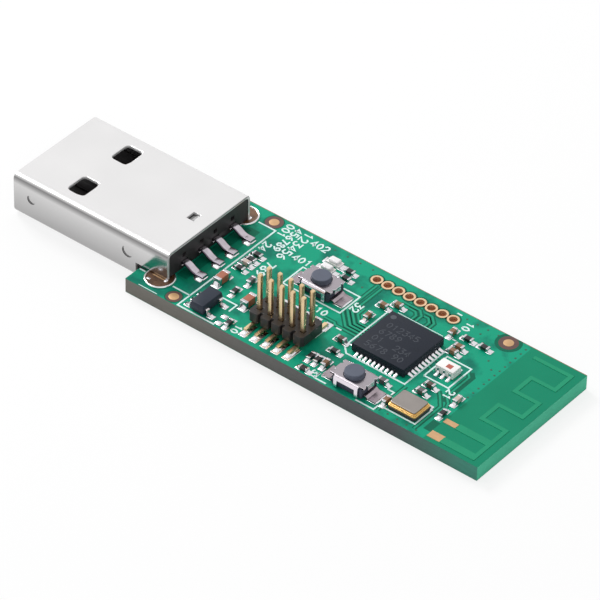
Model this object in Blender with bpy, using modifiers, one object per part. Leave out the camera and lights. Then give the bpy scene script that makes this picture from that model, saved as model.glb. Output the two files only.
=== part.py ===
"""Bare circuit-board radio stick: plug, radio chip, crystal, two push buttons, pin header.

Metres, +Z up. +X runs from the mouth of the plug to the printed antenna, +Y to the far long
edge. The origin is under the middle of the stick, on the surface that the board lies on.
Places on the board are measured from its plug-end edge, and across it in rows of the layout
grid, counted from its middle line.
"""
import math

import bmesh
import bpy
from mathutils import Matrix, Vector

# Clearances: a running or moulded fit, and the solder film under a soldered foot
FIT = 0.00004
SOLDER_FILM = 0.00003

# Steps round a full circle and round a bend, how far cutters overshoot, when points are one
ROUND = 24
SMALL_ROUND = 16
FINE_BEND = 4
BEND = 3
SMALL_BEND = 2
CUT_MARGIN = 0.001
TOUCH = 0.000001

# Circuit board and its copper
BOARD_LENGTH = 0.0408
BOARD_WIDTH = 0.0164
BOARD_THICKNESS = 0.0016
LAYOUT_ROWS = 164
COPPER = 0.000035
PIN_HOLE_RADIUS = 0.00042
PIN_HOLE_PAD_RADIUS = 0.00058
PIN_HOLE_COUNT = 8
PIN_HOLE_START = 0.01786
PIN_HOLE_ROW = 66.5
GRID = 0.00127
ANTENNA_TRACK = 0.00045
ANTENNA_PITCH = 0.00245
ANTENNA_RUNS = 5
ANTENNA_FROM_END = 0.001
ANTENNA_DEPTH = 0.00265
ANTENNA_LEAD_IN = 0.00155
ANTENNA_FROM_EDGE = 0.0011
ANTENNA_TAIL = 0.0005
FEED_WIDTH = 0.0008
FEED_LENGTH = 0.0036
FEED_SPACING = 0.0023

# Folded shell of the plug
SHELL_LENGTH = 0.0189
SHELL_WIDTH = 0.012
SHELL_HEIGHT = 0.0045
SHELL_SHEET = 0.0003
SHELL_CORNER = 0.0006
SHELL_SEAM = 0.0001
SHELL_OVERLAP = 0.0032
SHELL_LIFT = 0.0001
WALL_ABOVE_BOARD = 0.00016
NOTCH_AHEAD = 0.00065
WINDOW_LENGTH = 0.00195
WINDOW_WIDTH = 0.0025
WINDOW_RADIUS = 0.0004
WINDOW_SPACING = 0.00626
WINDOW_SETBACK = 0.00525
DIMPLE_DEPTH = 0.00012
DIMPLE_HEIGHT = 0.00256
MOUTH_DIMPLE_RADIUS = 0.0005
MOUTH_DIMPLE_SETBACK = 0.0022
REAR_DIMPLE_RADIUS = 0.00064
REAR_DIMPLE_SETBACK = 0.01405
TAB_LENGTH = 0.0009
TAB_WIDTH = 0.0011
TAB_SLIT = 0.00015
TAB_FROM_REAR = 0.0014
TAB_DROP = 0.00025
TAB_ROOT = 0.0002
LEG_WIDTH = 0.0016
LEG_DEPTH = 0.0009
LEG_HOLE_RADIUS = 0.0012
LEG_HOLE_PAD_RADIUS = 0.00162
LEG_HOLE_OFFSET = 0.00025

# Moulded tongue block in the shell, and its four contacts
TONGUE_THICKNESS = 0.00195
TONGUE_SETBACK = 0.0006
TONGUE_CHAMFER = 0.0004
CAVITY_DEPTH = 0.012
BLOCK_LIFT = 0.00015
BLOCK_GAP = 0.0001
RECESS = 0.0005
RECESS_DEPTH = 0.0005
RECESS_HEIGHT = 0.00158
CONTACT_WIDTH = 0.00085
CONTACT_SHEET = 0.0003
CONTACT_PROUD = 0.0002
INNER_CONTACT_OFFSET = 0.001
OUTER_CONTACT_OFFSET = 0.0035
OUTER_CONTACT_SETBACK = 0.001
INNER_CONTACT_SETBACK = 0.002
CONTACT_REACH = 0.0004
CONTACT_DROP = 0.0009
CONTACT_FOOT = 0.00115
CONTACT_BEND = 0.0006

# Pin header
HEADER_X = 0.01594
HEADER_ROW = -44
HEADER_COLUMNS = 5
HEADER_BODY_WIDTH = 0.0032
HEADER_BODY_HEIGHT = 0.00108
HEADER_LIFT = 0.00052
HEADER_NOTCH = 0.00025
HEADER_SLOT = 0.0003
HEADER_SLOT_DEPTH = 0.00055
NOTCH_SIDES = 4
PIN_SQUARE = 0.0004
PIN_HEIGHT = 0.00565
PIN_TIP = 0.00018
PIN_REACH = 0.00275

# Push buttons
BUTTON_PLATE_LENGTH = 0.0039
BUTTON_PLATE_WIDTH = 0.0027
BUTTON_HEIGHT = 0.00135
BUTTON_SHEET = 0.0002
BUTTON_FLAP_LENGTH = 0.00275
BUTTON_FLAP_LEG = 0.0004
BUTTON_FLAP_BAND = 0.0005
BUTTON_FOLD = 0.00025
BUTTON_TAB_WIDTH = 0.0009
BUTTON_TAB_DROP = 0.0005
BUTTON_NOTCH_RADIUS = 0.00016
BUTTON_END_WALL = 0.00026
BUTTON_WELL_FLOOR = 0.00036
BUTTON_TRAVEL = 0.00025
PLUNGER_RADIUS = 0.00096
PLUNGER_PROUD = 0.00048
PLUNGER_EAR_THICKNESS = 0.00024
PLUNGER_EAR_GAP = 0.0001
PLUNGER_NUB_RADIUS = 0.00035
PLUNGER_EDGE = 0.00012
DOME_GAP = 0.0001
DOME_SHEET = 0.00006
DOME_STEPS = 5
TERMINAL_SHEET = 0.00012
TERMINAL_WIDTH = 0.0017
TERMINAL_REACH = 0.00305
TERMINAL_STEP = 0.00025
TERMINAL_INNER = 0.0003

# Radio chip: flat moulded square with contacts along its edges
CHIP_SIZE = 0.006
CHIP_HEIGHT = 0.0009
CHIP_LEAD_PITCH = 0.0005
CHIP_LEADS_PER_SIDE = 10
CHIP_LEAD_WIDTH = 0.00024
CHIP_LEAD_HEIGHT = 0.0002
CHIP_LEAD_PROUD = 0.00003
CHIP_EDGE = 0.00006
CHIP_DOT_RADIUS = 0.00022
CHIP_DOT_INSET = 0.0006
CHIP_DOT_DEPTH = 0.00004

# Crystal: ceramic case, plated ring, steel lid
CRYSTAL_LENGTH = 0.0032
CRYSTAL_WIDTH = 0.0025
CRYSTAL_CASE_HEIGHT = 0.00026
CRYSTAL_CORNER_CUT = 0.0002
RING_HEIGHT = 0.0003
RING_INSET = 0.00008
LID_HEIGHT = 0.00012
LID_INSET = 0.0002
LID_RADIUS = 0.0002
LID_EDGE = 0.00003

# Balun: ceramic block with wrapped terminals
BALUN_LENGTH = 0.002
BALUN_WIDTH = 0.00125
BALUN_HEIGHT = 0.0008
BALUN_EDGE = 0.00006
BALUN_TERMINAL_WIDTH = 0.0003
BALUN_TERMINAL_PITCH = 0.00065
BALUN_TERMINAL_PROUD = 0.00003
BALUN_MARK = 0.0005
BALUN_MARK_DEPTH = 0.00003

# Voltage regulator: small moulded body with bent leads
REGULATOR_LENGTH = 0.0029
REGULATOR_WIDTH = 0.0016
REGULATOR_HEIGHT = 0.0011
REGULATOR_STANDOFF = 0.0001
REGULATOR_DRAFT = 0.00008
REGULATOR_LEAD_PITCH = 0.00095
REGULATOR_LEAD_WIDTH = 0.0004
REGULATOR_LEAD_SHEET = 0.00015
REGULATOR_LEAD_REACH = 0.0014
REGULATOR_LEAD_SHOULDER = 0.00095
REGULATOR_LEAD_HEIGHT = 0.0006
REGULATOR_LEAD_BEND = 0.00012
REGULATOR_LEAD_ROOT = 0.0003

# Light-emitting diodes: clear dome block on a small white carrier
LED_LENGTH = 0.0016
LED_WIDTH = 0.0008
LED_CARRIER_HEIGHT = 0.00025
LED_HEIGHT = 0.0006
LED_LENS_LENGTH = 0.0011
LED_LENS_TAPER = 0.00006
LED_EDGE = 0.00003

# Two-ended chip parts: length, width, height, length of each metal end
SMALL_RESISTOR = (0.001, 0.0005, 0.00035, 0.0002)
SMALL_CAPACITOR = (0.001, 0.0005, 0.0005, 0.00024)
LARGE_CAPACITOR = (0.0016, 0.0008, 0.0008, 0.00032)
END_PROUD = 0.00002
END_CHAMFER = 0.00005

# Everything lengthwise and upwards follows from these
STICK_LENGTH = BOARD_LENGTH + SHELL_LENGTH - SHELL_OVERLAP
MOUTH_X = -STICK_LENGTH / 2
REAR_X = MOUTH_X + SHELL_LENGTH
BOARD_X = REAR_X - SHELL_OVERLAP
BOARD_END_X = BOARD_X + BOARD_LENGTH
BOARD_TOP = BOARD_THICKNESS
ROW = BOARD_WIDTH / LAYOUT_ROWS
SEAT_Z = BOARD_TOP + COPPER + SOLDER_FILM
SHELL_TOP = SHELL_LIFT + SHELL_HEIGHT
TONGUE_TOP = SHELL_LIFT + SHELL_SHEET + TONGUE_THICKNESS

# A button's base fits inside its cover, its well takes the plunger, and the dome fits the well
BASE_END = BUTTON_PLATE_LENGTH / 2 - BUTTON_SHEET - FIT
BASE_SIDE = BUTTON_PLATE_WIDTH / 2 - BUTTON_SHEET - FIT
BASE_RIM = BUTTON_HEIGHT - BUTTON_SHEET - FIT
WELL_END = BASE_END - BUTTON_END_WALL
WELL_SIDE = PLUNGER_RADIUS + FIT
DOME_FOOT = BUTTON_WELL_FLOOR + FIT
DOME_TOP = DOME_FOOT + BUTTON_TRAVEL + DOME_SHEET

FAR = 1
NEAR = -1
ALONG = 0
ACROSS = 1

CHIP_PLACE = (0.02537, 1.3)
CRYSTAL_PLACE = (0.0313, -58)
BALUN_PLACE = (0.03095, 3.8)
REGULATOR_PLACE = (0.00825, -64.5)
BUTTON_PLACES = ((0.02558, -65), (0.01487, 21.5))
LED_PLACES = ((0.0135, 59), (0.0135, 47))

# Capacitors, bead and coil, then the resistors that are their own pieces
CHIP_PARTS = (
    ("plug_capacitor", SMALL_CAPACITOR, 0.0073, 5, ALONG),
    ("input_capacitor", LARGE_CAPACITOR, 0.0071, -28, ACROSS),
    ("output_capacitor", LARGE_CAPACITOR, 0.0111, -38, ACROSS),
    ("supply_bead", SMALL_CAPACITOR, 0.0093, -12.5, ACROSS),
    ("chip_capacitor_1", SMALL_CAPACITOR, 0.02185, 47.5, ALONG),
    ("chip_capacitor_2", SMALL_CAPACITOR, 0.02085, 38.5, ALONG),
    ("chip_capacitor_3", SMALL_CAPACITOR, 0.02065, 17.5, ACROSS),
    ("chip_capacitor_4", SMALL_CAPACITOR, 0.0209, -24.5, ALONG),
    ("chip_capacitor_5", SMALL_CAPACITOR, 0.0219, -60, ACROSS),
    ("chip_capacitor_6", SMALL_CAPACITOR, 0.0274, -46, ALONG),
    ("crystal_capacitor", SMALL_CAPACITOR, 0.02925, -65, ACROSS),
    ("chip_capacitor_7", SMALL_CAPACITOR, 0.028, 49, ACROSS),
    ("chip_capacitor_8", SMALL_CAPACITOR, 0.02975, 36, ALONG),
    ("chip_capacitor_9", SMALL_CAPACITOR, 0.0297, 27.5, ALONG),
    ("match_capacitor_1", SMALL_CAPACITOR, 0.031, -23, ALONG),
    ("match_capacitor_2", SMALL_CAPACITOR, 0.0309, -35, ALONG),
    ("match_coil", SMALL_CAPACITOR, 0.0341, -23.5, ACROSS),
    ("antenna_link", SMALL_RESISTOR, 0.03415, -46, ACROSS),
    ("reset_resistor", SMALL_RESISTOR, 0.0202, -60, ACROSS),
    ("reset_pull_up", SMALL_RESISTOR, 0.021, -60, ACROSS),
    ("button_resistor", SMALL_RESISTOR, 0.0208, -77.5, ALONG),
    ("bias_resistor", SMALL_RESISTOR, 0.0214, -40.5, ALONG),
)

# Resistors beyond the limit on separate pieces: soldered bodies that are one with the board
FUSED_RESISTORS = (
    (0.0073, 21.5, ALONG),
    (0.0073, 12.5, ALONG),
    (0.0073, -4, ALONG),
    (0.00905, -33, ACROSS),
    (0.01155, -72, ACROSS),
    (0.0154, 57.5, ALONG),
    (0.0157, 47.5, ALONG),
    (0.02965, 51, ALONG),
    (0.0315, 51, ALONG),
)

for leftover in list(bpy.data.objects):
    bpy.data.objects.remove(leftover, do_unlink=True)

PARTS = bpy.data.collections.new("usb_radio_stick")
CUTTERS = bpy.data.collections.new("cutters")
bpy.context.scene.collection.children.link(PARTS)
bpy.context.scene.collection.children.link(CUTTERS)


def on_board(along, row):
    """A place on the board (from the plug end, row of the layout grid) as world x and y."""
    return BOARD_X + along, row * ROW


def material(name, colour, roughness, metallic=0.0, **extra):
    made = bpy.data.materials.new(name)
    made.use_nodes = True
    shader = made.node_tree.nodes["Principled BSDF"]
    shader.inputs["Base Color"].default_value = (*colour, 1.0)
    shader.inputs["Roughness"].default_value = roughness
    shader.inputs["Metallic"].default_value = metallic
    for socket, value in extra.items():
        shader.inputs[socket.replace("_", " ")].default_value = value
    return made


def add_box(bm, low, high):
    size = [b - a for a, b in zip(low, high)]
    middle = [(a + b) / 2 for a, b in zip(low, high)]
    matrix = Matrix.Translation(middle) @ Matrix.Diagonal((*size, 1.0))
    return bmesh.ops.create_cube(bm, size=1.0, matrix=matrix)["verts"]


def add_cylinder(bm, middle, radius, height, segments=ROUND, axis="Z"):
    turns = {"Z": Matrix.Identity(4), "Y": Matrix.Rotation(math.pi / 2, 4, "X")}
    matrix = Matrix.Translation(middle) @ turns[axis]
    bmesh.ops.create_cone(bm, cap_ends=True, segments=segments, radius1=radius,
                          radius2=radius, depth=height, matrix=matrix)


def add_grid(bm, rows):
    """An open surface through rows of points, each row as long as the others."""
    grid = [[bm.verts.new(point) for point in row] for row in rows]
    for lower, upper in zip(grid, grid[1:]):
        for k in range(len(lower) - 1):
            bm.faces.new((lower[k], lower[k + 1], upper[k + 1], upper[k]))
    return grid


def add_loft(bm, sections):
    """A closed body through like sections, flat at both ends."""
    rings = [[bm.verts.new(point) for point in section] for section in sections]
    count = len(rings[0])
    for lower, upper in zip(rings, rings[1:]):
        for k in range(count):
            after = (k + 1) % count
            bm.faces.new((lower[k], lower[after], upper[after], upper[k]))
    bm.faces.new(rings[0][::-1])
    bm.faces.new(rings[-1])


def add_strip(bm, path, half_width):
    """A bent strip: a path in space, spread to both sides by half_width."""
    side = Vector(half_width)
    add_grid(bm, [[Vector(p) - side for p in path], [Vector(p) + side for p in path]])


def add_mitred_strip(bm, line, half_width):
    """A flat track along a level line, with mitred corners."""
    points = [Vector(point) for point in line]
    runs = [(after - before).normalized() for before, after in zip(points, points[1:])]
    across = []
    for before, after in zip([runs[0], *runs], [*runs, runs[-1]]):
        lean = before + after
        square = Vector((-lean.y, lean.x, 0.0))
        across.append(square * (2 * half_width / square.length_squared))
    add_grid(bm, [[p - a for p, a in zip(points, across)], [p + a for p, a in zip(points, across)]])


def round_corners(points, radius, steps):
    """A line through points (pairs) with each inner corner turned into an arc."""
    points = [Vector(point) for point in points]
    line = [points[0]]
    for before, corner, after in zip(points, points[1:], points[2:]):
        inward = (before - corner).normalized()
        outward = (after - corner).normalized()
        half_angle = inward.angle(outward) / 2
        reach = radius / math.tan(half_angle)
        centre = corner + (inward + outward).normalized() * radius / math.sin(half_angle)
        start = corner + inward * reach - centre
        turn = start.angle_signed(corner + outward * reach - centre)
        for step in range(steps + 1):
            spin = Matrix.Rotation(-turn * step / steps, 2)
            line.append(centre + spin @ start)
    line.append(points[-1])
    return line


def new_part(name, bm, finish):
    """A named sub-part from a finished bmesh, with its material."""
    bmesh.ops.recalc_face_normals(bm, faces=bm.faces)
    mesh = bpy.data.meshes.new(name)
    bm.to_mesh(mesh)
    bm.free()
    mesh.materials.append(finish)
    part = bpy.data.objects.new(name, mesh)
    PARTS.objects.link(part)
    return part


def new_cutter(name, bm):
    """A helper body that cuts or joins a sub-part, and isn't a part itself."""
    bmesh.ops.recalc_face_normals(bm, faces=bm.faces)
    mesh = bpy.data.meshes.new(name)
    bm.to_mesh(mesh)
    bm.free()
    tool = bpy.data.objects.new(name, mesh)
    tool.hide_render = True
    tool.display_type = "WIRE"
    CUTTERS.objects.link(tool)
    return tool


def boolean(part, tool, operation="DIFFERENCE"):
    change = part.modifiers.new(tool.name, "BOOLEAN")
    change.operation = operation
    change.solver = "EXACT"
    change.object = tool


def thicken(part, thickness):
    """Sheet metal: the surface is the middle of the sheet."""
    sheet = part.modifiers.new("sheet", "SOLIDIFY")
    sheet.thickness = thickness
    sheet.offset = 0.0
    sheet.use_even_offset = True


def chamfer(part, width):
    edge = part.modifiers.new("edge", "BEVEL")
    edge.width = width
    edge.segments = 1
    edge.limit_method = "ANGLE"
    edge.angle_limit = math.radians(50)


def turned_part(name, profile, finish):
    """A turned sub-part: (radius, height) points from the top down, spun about Z."""
    bm = bmesh.new()
    line = [bm.verts.new((radius, 0.0, height)) for radius, height in profile]
    for upper, lower in zip(line, line[1:]):
        bm.edges.new((upper, lower))
    part = new_part(name, bm, finish)
    turn = part.modifiers.new("turn", "SCREW")
    turn.steps = ROUND
    turn.render_steps = ROUND
    turn.use_merge_vertices = True
    turn.merge_threshold = TOUCH
    return part


def plate_outline(name, outline, thickness):
    """A flat 2D outline, filled and made thickness deep, as a mesh about its own plane."""
    curve = bpy.data.curves.new(name, "CURVE")
    curve.dimensions = "2D"
    curve.fill_mode = "BOTH"
    curve.extrude = thickness / 2
    spline = curve.splines.new("POLY")
    spline.points.add(len(outline) - 1)
    for point, place in zip(spline.points, outline):
        point.co = (place[0], place[1], 0.0, 1.0)
    spline.use_cyclic_u = True
    drawn = bpy.data.objects.new(name, curve)
    PARTS.objects.link(drawn)
    depsgraph = bpy.context.evaluated_depsgraph_get()
    mesh = bpy.data.meshes.new_from_object(drawn.evaluated_get(depsgraph))
    bpy.data.objects.remove(drawn)
    bm = bmesh.new()
    bm.from_mesh(mesh)
    bmesh.ops.remove_doubles(bm, verts=bm.verts, dist=TOUCH)
    bmesh.ops.dissolve_degenerate(bm, dist=TOUCH, edges=bm.edges)
    bmesh.ops.dissolve_limit(bm, angle_limit=math.radians(1), verts=bm.verts, edges=bm.edges)
    bpy.data.meshes.remove(mesh)
    return bm


def set_down(master, names, places):
    """Copies of one finished piece: its modifiers are applied once and the mesh is shared."""
    depsgraph = bpy.context.evaluated_depsgraph_get()
    mesh = bpy.data.meshes.new_from_object(master.evaluated_get(depsgraph))
    mesh.name = master.name
    bpy.data.objects.remove(master)
    copies = []
    for name, place in zip(names, places):
        copy = bpy.data.objects.new(name, mesh)
        copy.location = place
        PARTS.objects.link(copy)
        copies.append(copy)
    return copies


def smooth(part):
    part.data.shade_smooth()
    part.data.set_sharp_from_angle(angle=math.radians(35))


MASK_GREEN = material("solder_mask_green", (0.02, 0.34, 0.19), 0.35)
SHELL_STEEL = material("bright_steel", (0.78, 0.78, 0.79), 0.22, 1.0)
BLACK_MOULDING = material("black_moulding", (0.012, 0.012, 0.014), 0.5)
TINNED = material("tinned_metal", (0.72, 0.72, 0.73), 0.3, 1.0)
GOLD = material("gold_plate", (0.86, 0.62, 0.27), 0.25, 1.0)
CHIP_MOULDING = material("chip_moulding", (0.03, 0.032, 0.042), 0.55)
DARK_CERAMIC = material("dark_ceramic", (0.03, 0.03, 0.035), 0.6)
LID_STEEL = material("lid_steel", (0.42, 0.41, 0.4), 0.4, 1.0)
WHITE_CERAMIC = material("white_ceramic", (0.82, 0.81, 0.79), 0.5)
BUTTON_STEEL = material("button_steel", (0.62, 0.6, 0.61), 0.35, 1.0)
PLUNGER_MOULDING = material("plunger_moulding", (0.13, 0.15, 0.2), 0.5)
LED_CLEAR = material("led_clear", (0.85, 0.83, 0.82), 0.3)
CAPACITOR_BROWN = material("capacitor_ceramic", (0.42, 0.22, 0.12), 0.45)
RESISTOR_BLACK = material("resistor_glaze", (0.03, 0.025, 0.03), 0.35)


def chip_part_sections(kind, at, turned, base):
    """Octagonal sections along a two-ended part: metal end, body, metal end."""
    length, width, height, end = kind
    half = length / 2
    stations = (
        (-half, 0.0), (-half + end, 0.0), (-half + end, END_PROUD),
        (half - end, END_PROUD), (half - end, 0.0), (half, 0.0),
    )
    sections = []
    for along, inset in stations:
        side = width / 2 - inset
        low = base + inset
        high = base + height - inset
        cut = END_CHAMFER
        ring = (
            (-side + cut, low), (side - cut, low), (side, low + cut), (side, high - cut),
            (side - cut, high), (-side + cut, high), (-side, high - cut), (-side, low + cut),
        )
        if turned == ACROSS:
            sections.append([(at[0] - across, at[1] + along, up) for across, up in ring])
        else:
            sections.append([(at[0] + along, at[1] + across, up) for across, up in ring])
    return sections


def antenna_line():
    """Middle line of the folded antenna track, from its lead-in to its tail."""
    outer = BOARD_END_X - ANTENNA_FROM_END
    inner = outer - ANTENNA_DEPTH
    first = BOARD_WIDTH / 2 - ANTENNA_FROM_EDGE
    line = [(inner - ANTENNA_LEAD_IN, first)]
    for run in range(ANTENNA_RUNS):
        level = first - run * ANTENNA_PITCH
        ends = (inner, outer) if run % 2 == 0 else (outer, inner)
        if run > 0:
            line.append((ends[0], level))
        line.append((ends[1], level))
    line.append((outer, -BOARD_WIDTH / 2 + ANTENNA_TAIL))
    return line


def leg_hole_places():
    """The two holes that take the shell's legs, just outboard of the shell's walls."""
    across = SHELL_WIDTH / 2 - SHELL_SHEET / 2 + LEG_HOLE_OFFSET
    along = REAR_X - LEG_WIDTH / 2
    return [(along, across), (along, -across)]


def pin_hole_places():
    return [on_board(PIN_HOLE_START + k * GRID, PIN_HOLE_ROW) for k in range(PIN_HOLE_COUNT)]


def build_board():
    bm = bmesh.new()
    add_box(bm, (BOARD_X, -BOARD_WIDTH / 2, 0.0), (BOARD_END_X, BOARD_WIDTH / 2, BOARD_TOP))
    board = new_part("circuit_board", bm, MASK_GREEN)

    # Copper under the mask stands a little proud of the laminate
    bm = bmesh.new()
    track = [(x, y, BOARD_TOP) for x, y in antenna_line()]
    add_mitred_strip(bm, track, ANTENNA_TRACK / 2)
    antenna = new_cutter("antenna_track", bm)
    thicken(antenna, COPPER * 2)
    boolean(board, antenna, "UNION")

    bm = bmesh.new()
    outer = BOARD_END_X - ANTENNA_FROM_END
    for k in range(2):
        level = -BOARD_WIDTH / 2 + ANTENNA_TAIL + FEED_WIDTH / 2 + k * FEED_SPACING
        add_box(bm, (outer - FEED_LENGTH, level - FEED_WIDTH / 2, BOARD_TOP - COPPER),
                (outer, level + FEED_WIDTH / 2, BOARD_TOP + COPPER))
    for x, y in leg_hole_places():
        add_cylinder(bm, (x, y, BOARD_TOP), LEG_HOLE_PAD_RADIUS, COPPER * 2)
    for x, y in pin_hole_places():
        add_cylinder(bm, (x, y, BOARD_TOP), PIN_HOLE_PAD_RADIUS, COPPER * 2, SMALL_ROUND)
    boolean(board, new_cutter("pads", bm), "UNION")

    bm = bmesh.new()
    for along, row, turned in FUSED_RESISTORS:
        length, width, height, end = SMALL_RESISTOR
        kind = (length, width, height + SEAT_Z - BOARD_TOP + COPPER, end)
        add_loft(bm, chip_part_sections(kind, on_board(along, row), turned, BOARD_TOP - COPPER))
    boolean(board, new_cutter("fused_resistors", bm), "UNION")

    bm = bmesh.new()
    depth = BOARD_THICKNESS + 2 * CUT_MARGIN
    for x, y in leg_hole_places():
        add_cylinder(bm, (x, y, BOARD_TOP / 2), LEG_HOLE_RADIUS, depth)
    for x, y in pin_hole_places():
        add_cylinder(bm, (x, y, BOARD_TOP / 2), PIN_HOLE_RADIUS, depth, SMALL_ROUND)
    boolean(board, new_cutter("board_holes", bm))


def build_shell():
    half = (SHELL_WIDTH - SHELL_SHEET) / 2
    low = SHELL_LIFT + SHELL_SHEET / 2
    high = SHELL_TOP - SHELL_SHEET / 2
    radius = SHELL_CORNER - SHELL_SHEET / 2

    corners = [(SHELL_SEAM / 2, low), (half, low), (half, high),
               (-half, high), (-half, low), (-SHELL_SEAM / 2, low)]
    wrap = round_corners(corners, radius, FINE_BEND)
    bm = bmesh.new()
    add_grid(bm, [[(x, p.x, p.y) for p in wrap] for x in (MOUTH_X, REAR_X)])
    shell = new_part("usb_shell", bm, SHELL_STEEL)
    thicken(shell, SHELL_SHEET)

    bm = bmesh.new()
    window_x = MOUTH_X + WINDOW_SETBACK
    for side in (FAR, NEAR):
        middle = side * WINDOW_SPACING / 2
        add_box(bm, (window_x, middle - WINDOW_WIDTH / 2, -CUT_MARGIN),
                (window_x + WINDOW_LENGTH, middle + WINDOW_WIDTH / 2, SHELL_TOP + CUT_MARGIN))
    upright = [e for e in bm.edges if abs(e.verts[0].co.z - e.verts[1].co.z) > SHELL_HEIGHT]
    bmesh.ops.bevel(bm, geom=upright, offset=WINDOW_RADIUS, segments=BEND, affect="EDGES",
                    profile=0.5)
    boolean(shell, new_cutter("shell_windows", bm))

    # Behind the board's edge only the side walls and the two legs reach down
    leg_front = REAR_X - LEG_WIDTH
    notch_top = BOARD_TOP + WALL_ABOVE_BOARD
    wide = SHELL_WIDTH / 2 + CUT_MARGIN
    between = SHELL_WIDTH / 2 - SHELL_SHEET - FIT
    bm = bmesh.new()
    add_box(bm, (BOARD_X - NOTCH_AHEAD, -wide, -CUT_MARGIN), (leg_front, wide, notch_top))
    boolean(shell, new_cutter("shell_notch", bm))
    bm = bmesh.new()
    add_box(bm, (leg_front - FIT, -between, -CUT_MARGIN),
            (REAR_X + CUT_MARGIN, between, notch_top))
    boolean(shell, new_cutter("shell_leg_gap", bm))
    bm = bmesh.new()
    add_box(bm, (leg_front - FIT, -wide, -CUT_MARGIN),
            (REAR_X + CUT_MARGIN, wide, BOARD_TOP - LEG_DEPTH))
    boolean(shell, new_cutter("shell_leg_end", bm))

    bm = bmesh.new()
    for setback, size in ((MOUTH_DIMPLE_SETBACK, MOUTH_DIMPLE_RADIUS),
                          (REAR_DIMPLE_SETBACK, REAR_DIMPLE_RADIUS)):
        for side in (FAR, NEAR):
            add_cylinder(bm, (MOUTH_X + setback, side * SHELL_WIDTH / 2, DIMPLE_HEIGHT),
                         size, DIMPLE_DEPTH * 2, SMALL_ROUND, "Y")
    boolean(shell, new_cutter("shell_dimples", bm))

    # A small locking tab, cut free on three sides, slopes down from its root at the rear
    back = REAR_X - TAB_FROM_REAR
    front = back - TAB_LENGTH
    side = TAB_WIDTH / 2
    under = SHELL_TOP - SHELL_SHEET
    bm = bmesh.new()
    add_box(bm, (front, -side, under - FIT), (back, side, SHELL_TOP + FIT))
    boolean(shell, new_cutter("shell_tab_opening", bm))
    slope = [(front + TAB_SLIT, under - TAB_DROP), (back, under), (back + TAB_ROOT, under + FIT),
             (back + TAB_ROOT, SHELL_TOP - FIT), (back, SHELL_TOP),
             (front + TAB_SLIT, SHELL_TOP - TAB_DROP)]
    bm = plate_outline("tab_side", slope, TAB_WIDTH - 2 * TAB_SLIT)
    bmesh.ops.rotate(bm, verts=bm.verts, cent=(0.0, 0.0, 0.0),
                     matrix=Matrix.Rotation(math.pi / 2, 3, "X"))
    boolean(shell, new_cutter("shell_tab", bm), "UNION")


def contact_places():
    """Number, middle line and front end of each contact."""
    outer = TONGUE_SETBACK + OUTER_CONTACT_SETBACK
    inner = TONGUE_SETBACK + INNER_CONTACT_SETBACK
    return ((1, OUTER_CONTACT_OFFSET, outer), (2, INNER_CONTACT_OFFSET, inner),
            (3, -INNER_CONTACT_OFFSET, inner), (4, -OUTER_CONTACT_OFFSET, outer))


def build_insulator():
    bottom = SHELL_LIFT + SHELL_SHEET + FIT
    top = SHELL_TOP - SHELL_SHEET - FIT
    tip = MOUTH_X + TONGUE_SETBACK
    step = MOUTH_X + CAVITY_DEPTH
    rear = REAR_X - FIT
    under = BOARD_TOP + BLOCK_LIFT
    ledge = BOARD_X - BLOCK_GAP
    outline = [(tip, bottom), (ledge, bottom), (ledge, under), (rear, under), (rear, top),
               (step, top), (step, TONGUE_TOP), (tip + TONGUE_CHAMFER, TONGUE_TOP),
               (tip, TONGUE_TOP - TONGUE_CHAMFER)]
    width = SHELL_WIDTH - 2 * SHELL_SHEET - 2 * FIT
    bm = plate_outline("insulator_side", outline, width)
    bmesh.ops.rotate(bm, verts=bm.verts, cent=(0.0, 0.0, 0.0),
                     matrix=Matrix.Rotation(math.pi / 2, 3, "X"))
    corners = [e for e in bm.edges
               if all(abs(abs(v.co.y) - width / 2) < TOUCH for v in e.verts)
               and (all(abs(v.co.z - bottom) < TOUCH for v in e.verts)
                    or all(abs(v.co.z - top) < TOUCH for v in e.verts))
               and abs(e.verts[0].co.y - e.verts[1].co.y) < TOUCH]
    bmesh.ops.bevel(bm, geom=corners, offset=SHELL_CORNER - SHELL_SHEET, segments=SMALL_BEND,
                    affect="EDGES", profile=0.5)
    insulator = new_part("usb_insulator", bm, BLACK_MOULDING)

    # Each contact lies in a groove of the tongue and leaves through a tunnel in the block
    groove_low = TONGUE_TOP + CONTACT_PROUD - CONTACT_SHEET - FIT
    bm = bmesh.new()
    for _, middle, front in contact_places():
        side = CONTACT_WIDTH / 2 + FIT
        add_box(bm, (MOUTH_X + front - FIT, middle - side, groove_low),
                (rear + CUT_MARGIN, middle + side, TONGUE_TOP + CONTACT_PROUD + FIT))
    boolean(insulator, new_cutter("contact_grooves", bm))

    bm = bmesh.new()
    level = BOARD_TOP + RECESS_HEIGHT
    for _, middle, _ in contact_places():
        add_box(bm, (rear - RECESS_DEPTH, middle - RECESS / 2, level - RECESS / 2),
                (rear + CUT_MARGIN, middle + RECESS / 2, level + RECESS / 2))
    boolean(insulator, new_cutter("block_recesses", bm))

    # A pocket takes the shell's locking tab
    pocket = REAR_X - TAB_FROM_REAR
    bm = bmesh.new()
    add_box(bm, (pocket - TAB_LENGTH, -TAB_WIDTH / 2, top - TAB_DROP),
            (pocket, TAB_WIDTH / 2, top + CUT_MARGIN))
    boolean(insulator, new_cutter("tab_pocket", bm))


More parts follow.
